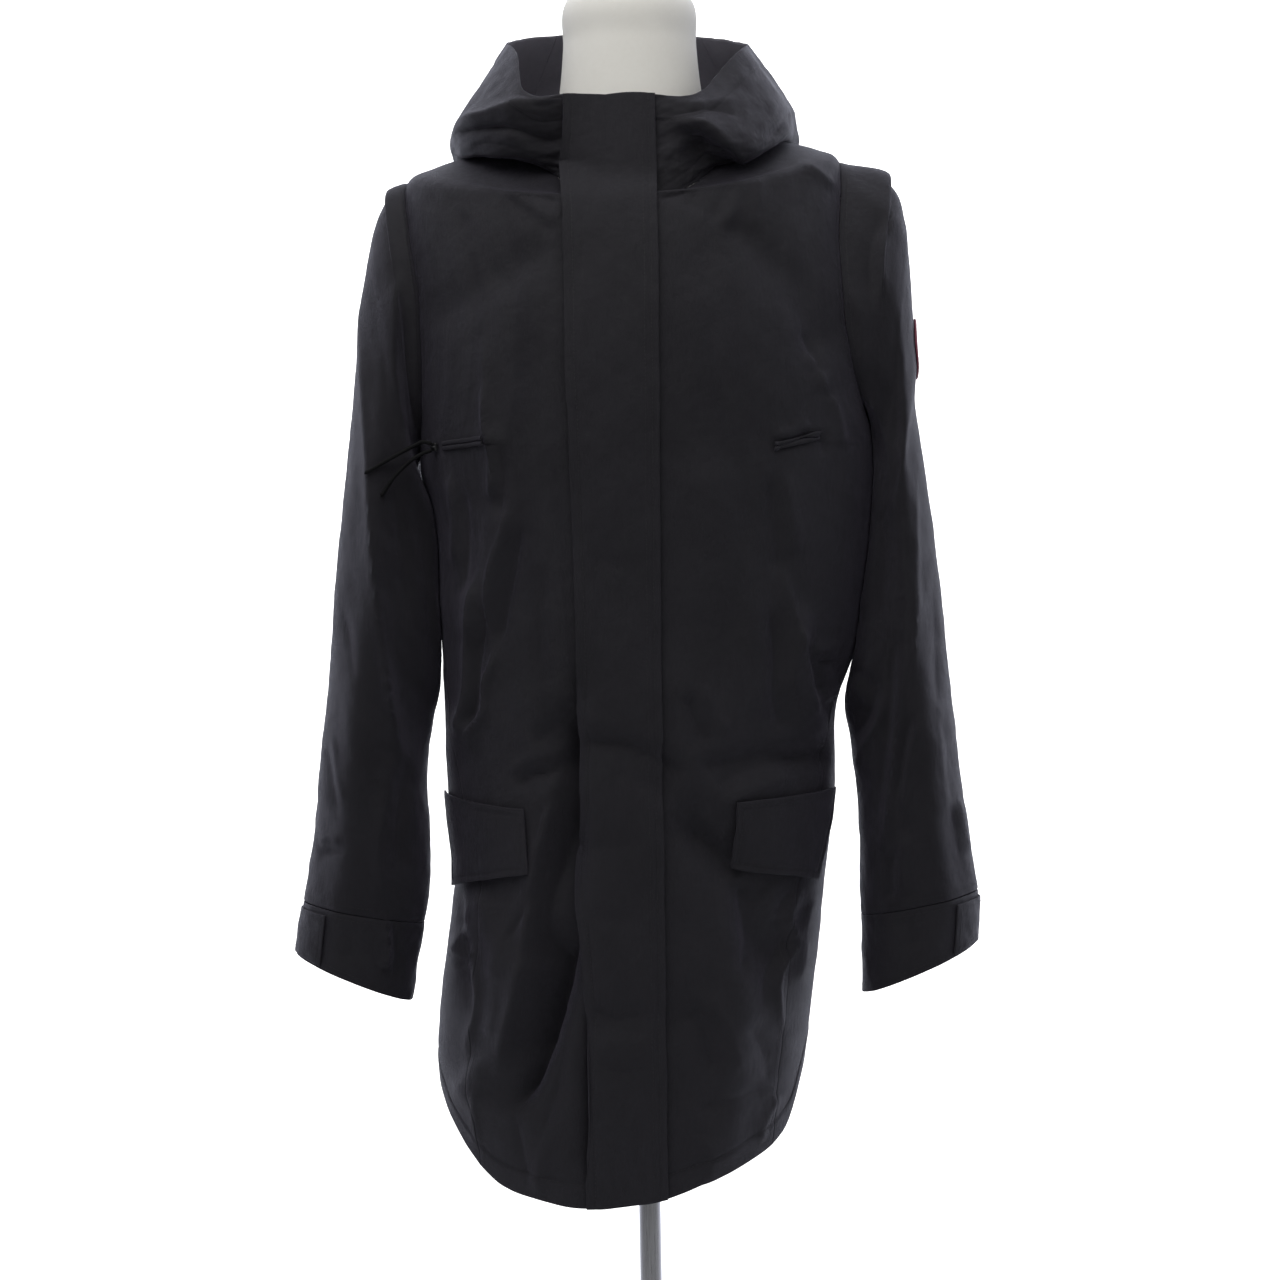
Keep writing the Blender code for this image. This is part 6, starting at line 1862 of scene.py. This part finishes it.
print("rows of stitches", sum(len(lines) for lines in TOPSTITCHED.values()))

# %% [markdown]
# ## Form, pole and base
#
# The form is a padded, cloth-covered torso. It has panels that meet in shallow seams. Its pole is drawn
# steel and its base is painted steel, both turned on a lathe: a profile of radius and height carried
# round the axis.

# %% The form
FORM_SEAMS = (0, 42, 90, 138, 180, 222, 270, 318)  # angles of the seams between its panels
along = np.concatenate([np.linspace(0.755, 0.775, 8), np.linspace(0.785, 1.38, 50),
                        np.linspace(1.385, 1.672, 80), np.linspace(1.674, 1.684, 10)])[:, None]
angle = np.arange(0, 360, 2.5)[None, :]
points = np.stack(ring_point(FORM, angle, along), axis=-1)
nearest = np.min([np.abs((angle - seam + 180) % 360 - 180) for seam in FORM_SEAMS], axis=0)
dip = 0.0006 * bell(nearest, 0, 1.2) * (points[..., 2] < 1.44)
points = points - grid_normals(points, closed=True) * dip[..., None]
piece = tube("form_cover", points, form_cloth)
fasten(piece, "form_cloth", "form")
print(piece.name, points.shape[:2])


# %% Pole and base
def turned(name, profile, material, steps):
    """A skin turned round Z from rows of radius and height, bottom first."""
    around = np.linspace(0, 2 * np.pi, steps, endpoint=False)
    radius, height = np.array(profile).T[..., None]
    rings = np.stack([radius * np.cos(around), radius * np.sin(around), height + 0 * around], axis=-1)
    return tube(name, rings, material)


POLE_RADIUS = 0.0095
pole_low, pole_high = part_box("pole")
turns = [(POLE_RADIUS, z) for z in np.linspace(pole_low[2], pole_high[2], 60)]
piece = turned("pole_rod", turns, pole_steel, 64)
fasten(piece, "pole_metal", "pole")
BASE_PROFILE = (
    # radius, height
    (0.1885, 0), (0.1895, 0.0006), (0.19, 0.0018), (0.19, 0.007), (0.1895, 0.0084), (0.188, 0.0094),
    (0.186, 0.01), (0.14, 0.0118), (0.09, 0.0138), (0.05, 0.0152), (0.032, 0.0159), (0.027, 0.0166),
    (0.0232, 0.0178), (0.0208, 0.0198), (0.02, 0.0225), (0.02, 0.043), (0.0197, 0.0443), (0.019, 0.045),
)
piece = turned("base_plate", BASE_PROFILE, base_paint, 160)
fasten(piece, "base_paint", "base")
print("pole", [round(v, 4) for v in (*pole_low, *pole_high)])

# %% [markdown]
# ## Floor and light
#
# The light is plain and soft, as in a white studio. The walls at the sides and behind are bright, and
# the side where the camera stands is dimmer, so that dark cloth shows its edges. A wide lamp above makes
# the shoulders and the hood lighter than the skirt.

# %% Floor
FLOOR_RADIUS, FLOOR_THICK, FLOOR_STEPS = 1.5, 0.01, 128
around = np.linspace(0, 2 * np.pi, FLOOR_STEPS, endpoint=False)
ring = np.stack([np.cos(around), np.sin(around), 0 * around], axis=-1)
top = ring * (FLOOR_RADIUS, FLOOR_RADIUS, 0)
points = np.concatenate([top, top - (0, 0, FLOOR_THICK)])
k = np.arange(FLOOR_STEPS)
after = (k + 1) % FLOOR_STEPS
sides = np.stack([k + FLOOR_STEPS, after + FLOOR_STEPS, after, k], axis=-1)
floor_paint, _, _ = new_material(
    "pale floor", 0.85, Base_Color=(0.84, 0.84, 0.83, 1.0), Specular_IOR_Level=0.2)
floor = new_object("floor", points, [sides, np.stack([k, k[::-1] + FLOOR_STEPS])], None, floor_paint)

# %% World and lamp
world = bpy.data.worlds.new("studio")
bpy.context.scene.world = world
world.use_nodes = True
tree = world.node_tree
backdrop = tree.nodes["Background"]
direction = add_node(tree, "ShaderNodeSeparateXYZ")
feed(tree, direction.inputs[0], add_node(tree, "ShaderNodeTexCoord").outputs["Generated"])
FRONT_LIGHT, SIDE_LIGHT, BACK_LIGHT = 0.205, 0.70, 1.5
sides = ranged(tree, direction.outputs["Y"], -0.62, 0.45, FRONT_LIGHT, SIDE_LIGHT)
behind = ranged(tree, direction.outputs["Y"], 0.2, 1.0, 0.0, BACK_LIGHT)
to_left = ranged(tree, direction.outputs["X"], -1.0, 1.0, 0.85, 1.3)
level = sum_node(tree, "MULTIPLY", sum_node(tree, "ADD", sides, behind), to_left)
level = sum_node(tree, "MULTIPLY", level, ranged(tree, direction.outputs["Z"], -0.5, 0.2, 0.55, 1.0))
for_lens = add_node(tree, "ShaderNodeLightPath").outputs["Is Camera Ray"]
from_behind = ranged(tree, direction.outputs["Y"], -0.75, 0.35, 0.0, 1.0)
cool = between(tree, from_behind, (1, 1, 1, 1), (0.92, 0.95, 1.08, 1))  # a little bluer from behind
feed(tree, backdrop.inputs["Color"], between(tree, for_lens, cool, (1, 1, 1, 1)))
feed(tree, backdrop.inputs["Strength"], sum_node(tree, "MAXIMUM", level, for_lens))

lamp_data = bpy.data.lights.new("lamp above", "AREA")
lamp_data.size, lamp_data.energy = 2.0, 28.0
lamp = bpy.data.objects.new("lamp_above", lamp_data)
lamp.location = (-0.35, -0.9, 2.75)
lamp.rotation_euler = (np.radians(24), np.radians(-8), 0)
bpy.context.collection.objects.link(lamp)
bpy.context.scene.view_settings.view_transform = "Standard"
print("world", FRONT_LIGHT, SIDE_LIGHT, BACK_LIGHT, "lamp", lamp_data.energy, "W")

# %% [markdown]
# ## Sizes
#
# Each piece's flat cut is printed, and the number of triangles in the scene.

# %% Print the cuts and the triangle count
for name, cut in sorted(cuts.items()):
    print("cut", name, *cut)
triangles = sum(len(o.data.loops) - 2 * len(o.data.polygons) for o in bpy.data.objects if o.type == "MESH")
print("triangles", triangles)
